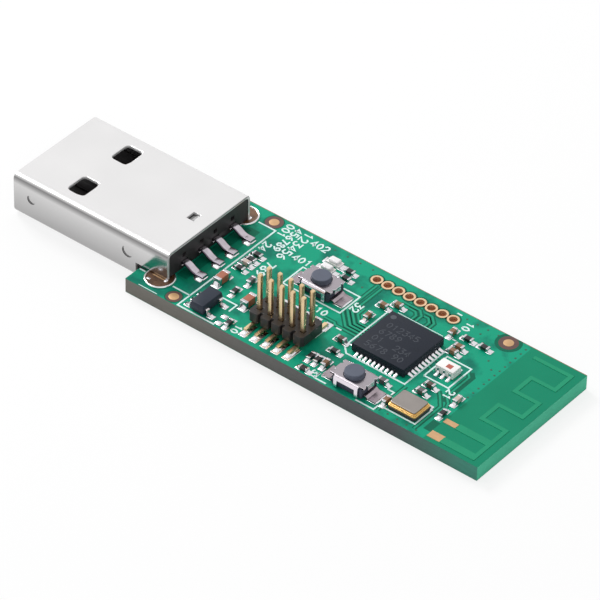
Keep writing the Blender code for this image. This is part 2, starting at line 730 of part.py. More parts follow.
def build_contacts():
    height = TONGUE_TOP + CONTACT_PROUD - CONTACT_SHEET / 2
    foot = SEAT_Z + CONTACT_SHEET / 2
    for number, middle, front in contact_places():
        start = REAR_X + CONTACT_REACH
        corners = [(MOUTH_X + front, height), (start, height), (start + CONTACT_DROP, foot),
                   (start + CONTACT_DROP + CONTACT_FOOT, foot)]
        path = [(p.x, middle, p.y) for p in round_corners(corners, CONTACT_BEND, FINE_BEND)]
        bm = bmesh.new()
        add_strip(bm, path, (0.0, CONTACT_WIDTH / 2, 0.0))
        contact = new_part(f"usb_contact_{number}", bm, TINNED)
        thicken(contact, CONTACT_SHEET)


def header_pin_places():
    """Number, column, side and middle of each pin: near row first."""
    along, across = on_board(HEADER_X, HEADER_ROW)
    places = []
    for side in (NEAR, FAR):
        for column in range(HEADER_COLUMNS):
            x = along + (column - (HEADER_COLUMNS - 1) / 2) * GRID
            places.append((len(places) + 1, side, x, across + side * GRID / 2))
    return places


def build_header():
    along, across = on_board(HEADER_X, HEADER_ROW)
    side = HEADER_BODY_WIDTH / 2
    half = HEADER_COLUMNS * GRID / 2
    bottom = BOARD_TOP + HEADER_LIFT
    top = bottom + HEADER_BODY_HEIGHT
    bm = bmesh.new()
    add_box(bm, (along - half, across - side, bottom), (along + half, across + side, top))
    body = new_part("header_body", bm, BLACK_MOULDING)

    # Upright slots with splayed mouths part the body into one lobe for each pin
    mouths = bmesh.new()
    slots = bmesh.new()
    for k in range(HEADER_COLUMNS + 1):
        x = along + (k - HEADER_COLUMNS / 2) * GRID
        for row in (FAR, NEAR):
            face = across + row * side
            add_cylinder(mouths, (x, face, (bottom + top) / 2), HEADER_NOTCH,
                         HEADER_BODY_HEIGHT + CUT_MARGIN, NOTCH_SIDES)
            if 0 < k < HEADER_COLUMNS:
                ends = sorted((face - row * HEADER_SLOT_DEPTH, face + row * CUT_MARGIN))
                add_box(slots, (x - HEADER_SLOT / 2, ends[0], BOARD_TOP),
                        (x + HEADER_SLOT / 2, ends[1], top + CUT_MARGIN))
    boolean(body, new_cutter("header_mouths", mouths))
    boolean(body, new_cutter("header_slots", slots))

    reach = PIN_SQUARE / 2 + FIT
    bm = bmesh.new()
    for _, _, x, y in header_pin_places():
        add_box(bm, (x - reach, y - reach, BOARD_TOP), (x + reach, y + reach, top + CUT_MARGIN))
    boolean(body, new_cutter("header_holes", bm))


def build_pins():
    """Square wire, bent once at the foot and pointed at the tip."""
    half = PIN_SQUARE / 2
    top = BOARD_TOP + PIN_HEIGHT
    across = on_board(HEADER_X, HEADER_ROW)[1]
    for number, row, x, y in header_pin_places():
        end = across + row * PIN_REACH

        def section(inner, outer, width):
            """A cross-section from its inner and outer (y, z) edges."""
            return [(x - width, inner[0], inner[1]), (x + width, inner[0], inner[1]),
                    (x + width, outer[0], outer[1]), (x - width, outer[0], outer[1])]

        low = SEAT_Z
        sections = [
            section((end, low + PIN_SQUARE), (end, low), half),
            section((y + row * half, low + PIN_SQUARE), (y - row * half, low), half),
            section((y + row * half, top - PIN_TIP), (y - row * half, top - PIN_TIP), half),
            section((y + row * half / 2, top), (y - row * half / 2, top), half / 2),
        ]
        bm = bmesh.new()
        add_loft(bm, sections)
        new_part(f"header_pin_{number:02d}", bm, GOLD)


def button_cover():
    """Steel plate with two long flaps on two legs each, and a short tab at each end."""
    deck = SEAT_Z - BOARD_TOP
    level = BUTTON_HEIGHT - BUTTON_SHEET / 2
    side = BUTTON_PLATE_WIDTH / 2 - BUTTON_SHEET / 2
    corners = [(-side, deck), (-side, level), (side, level), (side, deck)]
    bm = bmesh.new()
    path = [(0.0, p.x, p.y) for p in round_corners(corners, BUTTON_FOLD, BEND)]
    add_strip(bm, path, (BUTTON_FLAP_LENGTH / 2, 0.0, 0.0))
    cover = new_part("button_cover", bm, BUTTON_STEEL)
    thicken(cover, BUTTON_SHEET)

    end = BUTTON_PLATE_LENGTH / 2 - BUTTON_SHEET / 2
    corners = [(-end, level - BUTTON_TAB_DROP), (-end, level), (end, level),
               (end, level - BUTTON_TAB_DROP)]
    bm = bmesh.new()
    path = [(p.x, 0.0, p.y) for p in round_corners(corners, BUTTON_FOLD, BEND)]
    add_strip(bm, path, (0.0, BUTTON_TAB_WIDTH / 2, 0.0))
    tabs = new_cutter("button_end_tabs", bm)
    thicken(tabs, BUTTON_SHEET)
    boolean(cover, tabs, "UNION")

    bm = bmesh.new()
    wing = BUTTON_PLATE_WIDTH / 2 - BUTTON_FOLD
    add_box(bm, (-BUTTON_PLATE_LENGTH / 2, -wing, BUTTON_HEIGHT - BUTTON_SHEET),
            (BUTTON_PLATE_LENGTH / 2, wing, BUTTON_HEIGHT))
    boolean(cover, new_cutter("button_plate", bm), "UNION")

    bm = bmesh.new()
    open_half = BUTTON_FLAP_LENGTH / 2 - BUTTON_FLAP_LEG
    wide = BUTTON_PLATE_WIDTH / 2 + CUT_MARGIN
    add_box(bm, (-open_half, -wide, -CUT_MARGIN),
            (open_half, wide, BUTTON_HEIGHT - BUTTON_FLAP_BAND))
    through = 2 * (BUTTON_SHEET + FIT)
    add_cylinder(bm, (0.0, 0.0, BUTTON_HEIGHT), PLUNGER_RADIUS + FIT, through)
    for sign_x in (-1, 1):
        for sign_y in (-1, 1):
            add_cylinder(bm, (sign_x * (BUTTON_PLATE_LENGTH / 2),
                              sign_y * (BUTTON_TAB_WIDTH / 2 + BUTTON_NOTCH_RADIUS),
                              BUTTON_HEIGHT), BUTTON_NOTCH_RADIUS, through, SMALL_ROUND)
    boolean(cover, new_cutter("button_cover_cuts", bm))
    return cover


def button_base():
    """Moulded base: a well for the plunger's ears and the dome, slots for the terminals."""
    deck = SEAT_Z - BOARD_TOP
    bm = bmesh.new()
    add_box(bm, (-BASE_END, -BASE_SIDE, deck), (BASE_END, BASE_SIDE, BASE_RIM))
    rim_edges = [e for e in bm.edges if all(v.co.z > deck + FIT for v in e.verts)]
    bmesh.ops.bevel(bm, geom=rim_edges, offset=BUTTON_FOLD - FIT, segments=SMALL_BEND,
                    affect="EDGES", profile=0.5)
    base = new_part("button_base", bm, BLACK_MOULDING)

    bm = bmesh.new()
    add_box(bm, (-WELL_END, -WELL_SIDE, BUTTON_WELL_FLOOR),
            (WELL_END, WELL_SIDE, BASE_RIM + CUT_MARGIN))
    boolean(base, new_cutter("button_well", bm))
    bm = bmesh.new()
    half = TERMINAL_WIDTH / 2 + FIT
    for sign in (-1, 1):
        inner = sign * (TERMINAL_INNER - FIT)
        outer = sign * (BASE_END + CUT_MARGIN)
        add_box(bm, (min(inner, outer), -half, BUTTON_WELL_FLOOR - TERMINAL_SHEET - FIT),
                (max(inner, outer), half, BUTTON_WELL_FLOOR + FIT))
    boolean(base, new_cutter("button_terminal_slots", bm))
    return base


def button_plunger():
    """Round stem with two ears that the cover holds down, and a nub for the dome."""
    top = BUTTON_HEIGHT + PLUNGER_PROUD
    ear_low = BASE_RIM - PLUNGER_EAR_THICKNESS
    nub_low = DOME_TOP + FIT
    middle = (BASE_RIM + ear_low) / 2
    edge = PLUNGER_EDGE
    corner = edge * (1 - math.sqrt(0.5))
    profile = [(0.0, top), (PLUNGER_RADIUS - edge, top),
               (PLUNGER_RADIUS - corner, top - corner), (PLUNGER_RADIUS, top - edge),
               (PLUNGER_RADIUS, middle), (PLUNGER_NUB_RADIUS, middle),
               (PLUNGER_NUB_RADIUS, nub_low), (0.0, nub_low)]
    plunger = turned_part("button_plunger", profile, PLUNGER_MOULDING)
    bm = bmesh.new()
    length = WELL_END - PLUNGER_EAR_GAP
    width = PLUNGER_RADIUS - FIT
    add_box(bm, (-length, -width, ear_low), (length, width, BASE_RIM))
    boolean(plunger, new_cutter("plunger_ears", bm), "UNION")
    return plunger


def button_dome():
    """Thin sprung disc: a shallow arch turned about the button's axis."""
    rim = WELL_SIDE - DOME_GAP
    ball = (rim ** 2 + BUTTON_TRAVEL ** 2) / (2 * BUTTON_TRAVEL)
    spread = math.asin(rim / ball)
    low = DOME_FOOT + DOME_SHEET / 2
    profile = []
    for step in range(DOME_STEPS + 1):
        angle = spread * step / DOME_STEPS
        drop = ball * (1 - math.cos(angle))
        profile.append((ball * math.sin(angle), low + BUTTON_TRAVEL - drop))
    dome = turned_part("button_dome", profile, TINNED)
    thicken(dome, DOME_SHEET)
    return dome


def button_terminal():
    """Contact strip under the dome that steps down to a foot beyond the base's end."""
    level = BUTTON_WELL_FLOOR - TERMINAL_SHEET / 2
    foot = SEAT_Z - BOARD_TOP + TERMINAL_SHEET / 2
    bend = BUTTON_PLATE_LENGTH / 2
    corners = [(TERMINAL_INNER, level), (bend, level), (bend + TERMINAL_STEP, foot),
               (TERMINAL_REACH, foot)]
    path = [(p.x, 0.0, p.y) for p in round_corners(corners, TERMINAL_SHEET, SMALL_BEND)]
    bm = bmesh.new()
    add_strip(bm, path, (0.0, TERMINAL_WIDTH / 2, 0.0))
    terminal = new_part("button_terminal", bm, TINNED)
    thicken(terminal, TERMINAL_SHEET)
    return terminal


def build_buttons():
    places = [(*on_board(*place), BOARD_TOP) for place in BUTTON_PLACES]
    numbers = range(1, len(places) + 1)
    set_down(button_cover(), [f"button_{n}_cover" for n in numbers], places)
    set_down(button_base(), [f"button_{n}_base" for n in numbers], places)
    domes = set_down(button_dome(), [f"button_{n}_dome" for n in numbers], places)
    plungers = set_down(button_plunger(), [f"button_{n}_plunger" for n in numbers], places)
    for turned in domes + plungers:
        smooth(turned)
    names = [f"button_{n}_terminal_{side}" for side in ("right", "left") for n in numbers]
    terminals = set_down(button_terminal(), names, places + places)
    for terminal in terminals[len(places):]:
        terminal.rotation_euler.z = math.pi


def build_chip():
    x, y = on_board(*CHIP_PLACE)
    half = CHIP_SIZE / 2
    bm = bmesh.new()
    add_box(bm, (x - half, y - half, SEAT_Z), (x + half, y + half, SEAT_Z + CHIP_HEIGHT))
    rim = [e for e in bm.edges if not all(v.co.z < SEAT_Z + FIT for v in e.verts)]
    bmesh.ops.bevel(bm, geom=rim, offset=CHIP_EDGE, segments=1, affect="EDGES")
    chip = new_part("radio_chip", bm, CHIP_MOULDING)

    bm = bmesh.new()
    deep = half - CHIP_LEAD_WIDTH
    out = half + CHIP_LEAD_PROUD
    for k in range(CHIP_LEADS_PER_SIDE):
        step = (k - (CHIP_LEADS_PER_SIDE - 1) / 2) * CHIP_LEAD_PITCH
        low, high = step - CHIP_LEAD_WIDTH / 2, step + CHIP_LEAD_WIDTH / 2
        top = SEAT_Z + CHIP_LEAD_HEIGHT
        for sign in (-1, 1):
            a, b = sorted((sign * deep, sign * out))
            add_box(bm, (x + a, y + low, SEAT_Z), (x + b, y + high, top))
            add_box(bm, (x + low, y + a, SEAT_Z), (x + high, y + b, top))
    boolean(chip, new_cutter("chip_leads", bm), "UNION")

    bm = bmesh.new()
    dot = half - CHIP_DOT_INSET
    add_cylinder(bm, (x - dot, y + dot, SEAT_Z + CHIP_HEIGHT), CHIP_DOT_RADIUS,
                 CHIP_DOT_DEPTH * 2, SMALL_ROUND)
    boolean(chip, new_cutter("chip_dot", bm))


def build_crystal():
    x, y = on_board(*CRYSTAL_PLACE)
    half_x, half_y = CRYSTAL_LENGTH / 2, CRYSTAL_WIDTH / 2
    cut = CRYSTAL_CORNER_CUT
    outline = [(-half_x, -half_y + cut), (-half_x + cut, -half_y), (half_x - cut, -half_y),
               (half_x, -half_y + cut), (half_x, half_y - cut), (half_x - cut, half_y),
               (-half_x + cut, half_y), (-half_x, half_y - cut)]
    bm = plate_outline("crystal_outline", outline, CRYSTAL_CASE_HEIGHT)
    bmesh.ops.translate(bm, verts=bm.verts, vec=(x, y, SEAT_Z + CRYSTAL_CASE_HEIGHT / 2))
    new_part("crystal_case", bm, DARK_CERAMIC)

    def slab(name, inset, low, height, finish):
        """A flat slab inside the case's outline, with rounded upright corners."""
        bm = bmesh.new()
        add_box(bm, (x - half_x + inset, y - half_y + inset, low),
                (x + half_x - inset, y + half_y - inset, low + height))
        upright = [e for e in bm.edges if abs(e.verts[0].co.z - e.verts[1].co.z) > height / 2]
        bmesh.ops.bevel(bm, geom=upright, offset=LID_RADIUS, segments=BEND, affect="EDGES",
                        profile=0.5)
        return new_part(name, bm, finish)

    ring_low = SEAT_Z + CRYSTAL_CASE_HEIGHT + FIT
    slab("crystal_ring", RING_INSET, ring_low, RING_HEIGHT, GOLD)
    lid_low = ring_low + RING_HEIGHT + FIT
    lid = slab("crystal_lid", LID_INSET, lid_low, LID_HEIGHT, LID_STEEL)
    chamfer(lid, LID_EDGE)


def build_balun():
    x, y = on_board(*BALUN_PLACE)
    half_x, half_y = BALUN_LENGTH / 2, BALUN_WIDTH / 2
    top = SEAT_Z + BALUN_HEIGHT
    bm = bmesh.new()
    add_box(bm, (x - half_x, y - half_y, SEAT_Z), (x + half_x, y + half_y, top))
    bmesh.ops.bevel(bm, geom=bm.edges[:], offset=BALUN_EDGE, segments=1, affect="EDGES")
    balun = new_part("balun", bm, WHITE_CERAMIC)
    bm = bmesh.new()
    for k in (-1, 0, 1):
        middle = x + k * BALUN_TERMINAL_PITCH
        for sign in (-1, 1):
            a, b = sorted((sign * (half_y - BALUN_TERMINAL_WIDTH / 2),
                           sign * (half_y + BALUN_TERMINAL_PROUD)))
            add_box(bm, (middle - BALUN_TERMINAL_WIDTH / 2, y + a, SEAT_Z + BALUN_EDGE / 2),
                    (middle + BALUN_TERMINAL_WIDTH / 2, y + b, top - BALUN_EDGE / 2))
    boolean(balun, new_cutter("balun_terminals", bm), "UNION")
    bm = bmesh.new()
    half = BALUN_MARK / 2
    add_box(bm, (x - half, y - half, top - BALUN_MARK_DEPTH), (x + half, y + half, top + CUT_MARGIN))
    boolean(balun, new_cutter("balun_mark", bm))


def build_regulator():
    x, y = on_board(*REGULATOR_PLACE)
    low = SEAT_Z + REGULATOR_STANDOFF
    middle = SEAT_Z + REGULATOR_LEAD_HEIGHT
    high = SEAT_Z + REGULATOR_HEIGHT

    def ring(z, inset):
        a, b = REGULATOR_WIDTH / 2 - inset, REGULATOR_LENGTH / 2 - inset
        return [(x - a, y - b, z), (x + a, y - b, z), (x + a, y + b, z), (x - a, y + b, z)]

    bm = bmesh.new()
    add_loft(bm, [ring(low, REGULATOR_DRAFT), ring(middle, 0.0), ring(high, REGULATOR_DRAFT)])
    regulator = new_part("regulator", bm, CHIP_MOULDING)

    # Three leads on the plug's side, two on the other
    bm = bmesh.new()
    foot = SEAT_Z + REGULATOR_LEAD_SHEET / 2
    inner = REGULATOR_WIDTH / 2 - REGULATOR_LEAD_ROOT
    for sign, rows in ((-1, (-1, 0, 1)), (1, (-1, 1))):
        for row in rows:
            level = y + row * REGULATOR_LEAD_PITCH
            corners = [(inner, middle), (REGULATOR_LEAD_SHOULDER, middle),
                       (REGULATOR_LEAD_SHOULDER, foot), (REGULATOR_LEAD_REACH, foot)]
            line = round_corners(corners, REGULATOR_LEAD_BEND, SMALL_BEND)
            path = [(x + sign * p.x, level, p.y) for p in line]
            add_strip(bm, path, (0.0, REGULATOR_LEAD_WIDTH / 2, 0.0))
    leads = new_cutter("regulator_leads", bm)
    thicken(leads, REGULATOR_LEAD_SHEET)
    boolean(regulator, leads, "UNION")


def build_leds():
    bm = bmesh.new()
    half, side = LED_LENGTH / 2, LED_WIDTH / 2
    lens = LED_LENS_LENGTH / 2
    taper = LED_LENS_TAPER

    def ring(z, a, b):
        return [(-a, -b, z), (a, -b, z), (a, b, z), (-a, b, z)]

    step = SEAT_Z + LED_CARRIER_HEIGHT
    add_loft(bm, [ring(SEAT_Z, half, side), ring(step, half, side), ring(step, lens, side - taper),
                  ring(SEAT_Z + LED_HEIGHT, lens - taper, side - 2 * taper)])
    master = new_part("led", bm, LED_CLEAR)
    chamfer(master, LED_EDGE)
    places = [(*on_board(*place), 0.0) for place in LED_PLACES]
    set_down(master, [f"led_{n + 1}" for n in range(len(places))], places)


def build_chip_parts():
    finishes = {SMALL_RESISTOR: RESISTOR_BLACK, SMALL_CAPACITOR: CAPACITOR_BROWN,
                LARGE_CAPACITOR: CAPACITOR_BROWN}
    for name, kind, along, row, turned in CHIP_PARTS:
        bm = bmesh.new()
        add_loft(bm, chip_part_sections(kind, (0.0, 0.0), turned, SEAT_Z))
        part = new_part(name, bm, finishes[kind])
        part.location = (*on_board(along, row), 0.0)


build_board()
build_shell()
build_insulator()
build_contacts()
build_header()
build_pins()
build_buttons()
build_chip()
build_crystal()
build_balun()
build_regulator()
build_leds()
build_chip_parts()
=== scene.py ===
"""Looks of a bare circuit-board radio stick, section by section in the order it is put together."""
import math

import bmesh
import bpy
import numpy as np
from mathutils import Matrix, Vector


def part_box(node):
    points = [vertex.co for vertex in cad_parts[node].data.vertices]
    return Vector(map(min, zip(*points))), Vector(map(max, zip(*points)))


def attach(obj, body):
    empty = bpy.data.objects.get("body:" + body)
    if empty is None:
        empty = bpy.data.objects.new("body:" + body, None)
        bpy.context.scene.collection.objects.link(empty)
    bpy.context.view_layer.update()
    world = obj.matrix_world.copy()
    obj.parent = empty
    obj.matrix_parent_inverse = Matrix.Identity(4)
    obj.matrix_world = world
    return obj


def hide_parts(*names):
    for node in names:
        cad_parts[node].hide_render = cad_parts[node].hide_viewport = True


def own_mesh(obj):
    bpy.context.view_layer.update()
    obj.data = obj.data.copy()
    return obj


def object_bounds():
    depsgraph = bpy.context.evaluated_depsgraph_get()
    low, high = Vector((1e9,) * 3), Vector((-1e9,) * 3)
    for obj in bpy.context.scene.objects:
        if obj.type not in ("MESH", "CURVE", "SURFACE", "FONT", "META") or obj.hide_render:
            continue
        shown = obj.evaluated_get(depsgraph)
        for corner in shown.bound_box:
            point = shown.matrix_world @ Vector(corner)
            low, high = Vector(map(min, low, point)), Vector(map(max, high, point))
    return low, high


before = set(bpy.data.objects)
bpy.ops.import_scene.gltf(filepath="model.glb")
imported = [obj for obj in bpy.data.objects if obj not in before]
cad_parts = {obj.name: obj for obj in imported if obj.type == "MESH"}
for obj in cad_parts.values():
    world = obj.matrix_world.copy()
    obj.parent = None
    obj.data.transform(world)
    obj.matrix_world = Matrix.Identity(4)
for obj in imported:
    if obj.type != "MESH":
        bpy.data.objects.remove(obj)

cad_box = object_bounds()

# Circuit board
# The sheet that carries everything: woven glass in epoxy, sawn to size, with green mask printed
# over the copper on both faces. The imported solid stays, and its finish tells faces from edges.
MM = 0.001
BOARD_THICKNESS = 1.6
ORIGIN = np.array([cad_box[0].x, 0.0, BOARD_THICKNESS * MM])
BOARD_HALF = 8.2
ANTENNA_START = 50.4
MASK_THICKNESS = 0.03
MASK_SHINE = 0.12
RIM_WIDTH = 0.07
FACE_GREENS = ((8, 118, 98), (19, 162, 127))
BARE_GREENS = ((6, 130, 98), (16, 146, 110))
BARE_RIM = (150, 118, 92)
# The sawn edge goes from grey to grey and then to green, over these spans from the plug's mouth
SAWN_GREYS = ((142, 139, 132), (106, 110, 112))
GREYS_SPAN = (20, 42)
SAWN_GREEN = (80, 160, 140)
GREEN_SPAN = (47, 55)
DARK_PLY = (0.05, 0.05, 0.045, 1.0)
STREAKS = 0.45
# Painted light: the end face is painted a lighter green than the sawn long edges
PAINTED_LIGHT_END_GREEN = (88, 202, 164)
SAWN_ROUGHNESS = 0.72
MASK_ROUGHNESS = 0.3


def paint(red, green, blue):
    """A screen colour (0 to 255) as the linear colour that a shader takes."""
    value = np.array([red, green, blue]) / 255
    linear = np.where(value <= 0.04045, value / 12.92, ((value + 0.055) / 1.055) ** 2.4)
    return (*linear.tolist(), 1.0)


def node(tree, kind, inputs=(), **settings):
    """Adds a node; inputs gives each socket a value or the output that feeds it."""
    made = tree.nodes.new(kind)
    for name, value in settings.items():
        setattr(made, name, value)
    for socket, value in dict(inputs).items():
        if isinstance(value, bpy.types.NodeSocket):
            tree.links.new(value, made.inputs[socket])
        else:
            made.inputs[socket].default_value = value
    return made


def worked(tree, operation, *values):
    """The result of one arithmetic node."""
    return node(tree, "ShaderNodeMath", dict(enumerate(values)), operation=operation).outputs[0]


def carried(tree, value, low, high, first=0.0, last=1.0):
    """The value, carried over from the range low to high to the range first to last."""
    sockets = {0: value, 1: low, 2: high, 3: first, 4: last}
    return node(tree, "ShaderNodeMapRange", sockets).outputs[0]


def parts_of(tree, coordinates):
    """The three numbers of a coordinate, as three outputs."""
    return node(tree, "ShaderNodeSeparateXYZ", {0: coordinates}).outputs


def blend_colour(tree, share, first, second, way="MIX"):
    """A colour that goes from first to second, or to their product, as share goes from 0 to 1."""
    mix = node(tree, "ShaderNodeMix", {0: share, 6: first, 7: second}, data_type="RGBA",
               blend_type=way)
    return mix.outputs[2]


def noise(tree, coordinates, scale, detail=3.0, stretch=(1.0, 1.0, 1.0)):
    """Cloudy noise on the piece's own coordinates, scale lumps to a metre."""
    drawn = node(tree, "ShaderNodeMapping", {"Vector": coordinates, "Scale": stretch})
    cloud = node(tree, "ShaderNodeTexNoise",
                 {"Vector": drawn.outputs[0], "Scale": scale, "Detail": detail})
    return cloud.outputs[0]


def new_finish(name):
    """An empty material: its tree, its shader and the piece's own coordinates."""
    made = bpy.data.materials.new(name)
    made.use_nodes = True
    tree = made.node_tree
    shader = tree.nodes["Principled BSDF"]
    place = node(tree, "ShaderNodeTexCoord")
    return made, tree, shader, place


def add_bump(tree, shader, height, depth):
    """Relief of the given depth in metres."""
    bump = node(tree, "ShaderNodeBump", {"Height": height, "Distance": depth, "Strength": 1.0})
    tree.links.new(bump.outputs[0], shader.inputs["Normal"])


def board_finish():
    """Mask on the two faces, bare laminate along one rim, and sawn laminate on the edges."""
    made, tree, shader, place = new_finish("masked_laminate")
    own = place.outputs["Object"]
    x, y, z = parts_of(tree, own)
    mouth = cad_box[0].x
    away = worked(tree, "ABSOLUTE", worked(tree, "SUBTRACT", z, BOARD_THICKNESS * MM / 2))
    on_face = worked(tree, "GREATER_THAN", away, (BOARD_THICKNESS / 2 - MASK_THICKNESS) * MM)
    bare = worked(tree, "GREATER_THAN", x, mouth + ANTENNA_START * MM)
    patches = carried(tree, noise(tree, own, 420, 5.0), 0.36, 0.54)
    copper_side = blend_colour(tree, patches, *(paint(*green) for green in FACE_GREENS))
    cloud = noise(tree, own, 260, 4.0)
    bare_side = blend_colour(tree, cloud, *(paint(*green) for green in BARE_GREENS))
    mask = blend_colour(tree, bare, copper_side, bare_side)
    rim = worked(tree, "GREATER_THAN", y, (BOARD_HALF - RIM_WIDTH) * MM)
    mask = blend_colour(tree, rim, mask, paint(*BARE_RIM))

    along = carried(tree, x, *(mouth + end * MM for end in GREYS_SPAN))
    greys = blend_colour(tree, along, *(paint(*grey) for grey in SAWN_GREYS))
    to_end = carried(tree, x, *(mouth + end * MM for end in GREEN_SPAN))
    sawn = blend_colour(tree, to_end, greys, paint(*SAWN_GREEN))
    plies = noise(tree, own, 900, 3.0, (0.4, 0.4, 16.0))
    edge = blend_colour(tree, STREAKS, sawn, blend_colour(tree, plies, DARK_PLY, sawn))
    facing = parts_of(tree, place.outputs["Normal"])
    end_on = worked(tree, "GREATER_THAN", facing[0], 0.5)
    edge = blend_colour(tree, end_on, edge, paint(*PAINTED_LIGHT_END_GREEN))
    tree.links.new(blend_colour(tree, on_face, edge, mask), shader.inputs["Base Color"])

    dull = carried(tree, on_face, 0.0, 1.0, SAWN_ROUGHNESS, MASK_ROUGHNESS)
    tree.links.new(dull, shader.inputs["Roughness"])
    shader.inputs["Specular IOR Level"].default_value = MASK_SHINE
    add_bump(tree, shader, noise(tree, own, 2600, 2.0), 0.000003)
    return made


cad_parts["circuit_board"].data.materials.clear()
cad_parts["circuit_board"].data.materials.append(board_finish())

# Copper under the mask
# Etched foil about 0.035 mm thick, seen through the mask as paler runs with darker gaps beside
# them where the foil is etched away. Each run is a ribbon with mitred corners on the board.
HOLE_X = 33.56
HOLE_Y = 6.65
GRID = 1.27
RUN_WIDTH = 0.2
GAP_WIDTH = 0.5
CREASE_ANGLE = 35
RUNS = (
    [(34.1, 6.0), (34.1, 1.55), (35.75, -0.1), (37.6, -0.1)],
    [(34.7, 6.0), (34.7, 1.55), (35.95, 0.3), (37.6, 0.3)],
    [(35.3, 2.6), (35.3, 1.6), (36.2, 0.7), (37.6, 0.7)],
    [(33.9, 1.1), (35.5, -0.5), (37.6, -0.5)],
    [(33.2, -0.7), (34.4, -0.7), (34.65, -0.95), (37.6, -0.95)],
    [(HOLE_X + 3 * GRID, 5.72), (39.35, 5.72), (39.95, 5.12), (39.95, 4.2)],
    [(38.2, 5.3), (39.1, 5.3), (39.5, 4.9), (39.5, 4.2)],
    [(HOLE_X + 5 * GRID, 5.75), (40.7, 5.75), (41.5, 5.0), (41.5, 4.2)],
    [(40.1, 5.3), (40.6, 5.3), (41.05, 4.85), (41.05, 4.2)],
    [(48.0, 1.6), (48.55, 1.05), (48.55, -2.3), (49.3, -3.05), (49.5, -3.6)],
    [(47.6, -2.2), (48.1, -2.7), (49.0, -3.8), (49.0, -7.7)],
    [(44.95, -3.6), (44.95, -7.8)],
    [(44.3, 1.1), (45.6, 1.1)],
    [(44.3, 0.1), (45.6, -0.3)],
)
BARE_PATCHES = (
    # Behind the plug block: bare laminate between the contact pads, made darker and larger as
    # painted shadow of the plug
    ([(19.5, 4.8), (19.5, -4.7)], 1.2),
    ([(50.0, -5.6), (50.0, -7.1)], 0.8),
    ([(48.35, 1.75), (48.85, 1.25), (48.85, -2.5), (49.35, -3.0)], 0.42),
    ([(48.75, -3.15), (48.35, -2.75)], 0.7),
)


def rings_to_body(rings, closed=False):
    """Rings of points (rings x points x 3) joined by quads, with a flat face on both end rings.

    closed joins the last ring to the first instead, as in a washer.
    """
    rows, count = rings.shape[:2]
    grid = np.arange(rows * count).reshape(rows, count)
    lower = grid if closed else grid[:-1]
    upper = np.roll(grid, -1, axis=0) if closed else grid[1:]
    quads = np.stack([lower, np.roll(lower, -1, 1), np.roll(upper, -1, 1), upper], -1)
    ends = np.empty((0, count), int) if closed else np.stack([grid[0, ::-1], grid[-1]])
    return rings.reshape(-1, 3), quads.reshape(-1, 4), ends


def sweep(path, side, section):
    """Carries a closed section of (across, up) pairs along a path that lies in one plane.

    "up" follows side, the plane's normal, and "across" is square to the path in that plane,
    lengthened at each bend by 1 / cos(half the bend), at most 1.8, so the run keeps its width.
    """
    path = np.asarray(path, float)
    run = np.diff(path, axis=0)
    run /= np.linalg.norm(run, axis=1)[:, None]
    lean = np.vstack([run[:1], run]) + np.vstack([run, run[-1:]])
    size = np.linalg.norm(lean, axis=1)
    across = np.cross(lean, side) * np.minimum(2 / size ** 2, 1.8 / size)[:, None]
    section = np.broadcast_to(section, (len(path), *np.shape(section)[-2:]))
    rings = path[:, None] + section[..., :1] * across[:, None] + section[..., 1:] * np.array(side)
    return rings_to_body(rings)


def ribbon(line, width, height, sunk=0.02, lip=0.006):
    """A flat run on the board: a sweep of a low six-sided section with chamfered top edges."""
    half = width / 2
    section = [(-half, -sunk), (-half, height - lip), (-half + lip, height),
               (half - lip, height), (half, height - lip), (half, -sunk)]
    flat = np.column_stack([np.array(line, float), np.zeros(len(line))])
    return sweep(flat, (0.0, 0.0, 1.0), section)


def clean(mesh, near, crease, flatten=False):
    """Joins points nearer than near, turns all faces outward and shades them smooth up to the
    crease angle; flatten also takes the edges out of flat faces."""
    bm = bmesh.new()
    bm.from_mesh(mesh)
    bmesh.ops.remove_doubles(bm, verts=bm.verts, dist=near)
    if flatten:
        bmesh.ops.dissolve_limit(bm, angle_limit=math.radians(0.5), verts=bm.verts, edges=bm.edges)
    bmesh.ops.recalc_face_normals(bm, faces=bm.faces)
    bm.to_mesh(mesh)
    bm.free()
    mesh.shade_smooth()
    mesh.set_sharp_from_angle(angle=math.radians(crease))


def new_object(name, data):
    """An object of this data, put in the scene."""
    made = bpy.data.objects.new(name, data)
    bpy.context.scene.collection.objects.link(made)
    return made


def make_piece(name, bodies, finishes, stands_for=None):
    """One piece from bodies, each alone or in a pair with the number of its finish; sizes are
    millimetres from the plug's mouth, the middle line and the board's top face, and the mesh is
    written in the frame."""
    pairs = [entry if len(entry) == 2 else (entry, 0) for entry in bodies]
    starts = np.cumsum([0] + [len(body[0]) for body, _ in pairs])
    points = np.concatenate([body[0] for body, _ in pairs])
    faces = []
    numbers = []
    for (body, number), start in zip(pairs, starts):
        group = (body[1] + start).tolist() + (body[2] + start).tolist()
        faces += group
        numbers += [number] * len(group)
    mesh = bpy.data.meshes.new(name)
    mesh.from_pydata((ORIGIN + MM * points).tolist(), [], faces)
    mesh.polygons.foreach_set("material_index", np.array(numbers, np.int32))
    for finish in finishes:
        mesh.materials.append(finish)
    clean(mesh, 3e-8, CREASE_ANGLE)
    piece = new_object(name, mesh)
    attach(piece, "stick")
    if stands_for:
        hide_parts(stands_for)
    return piece


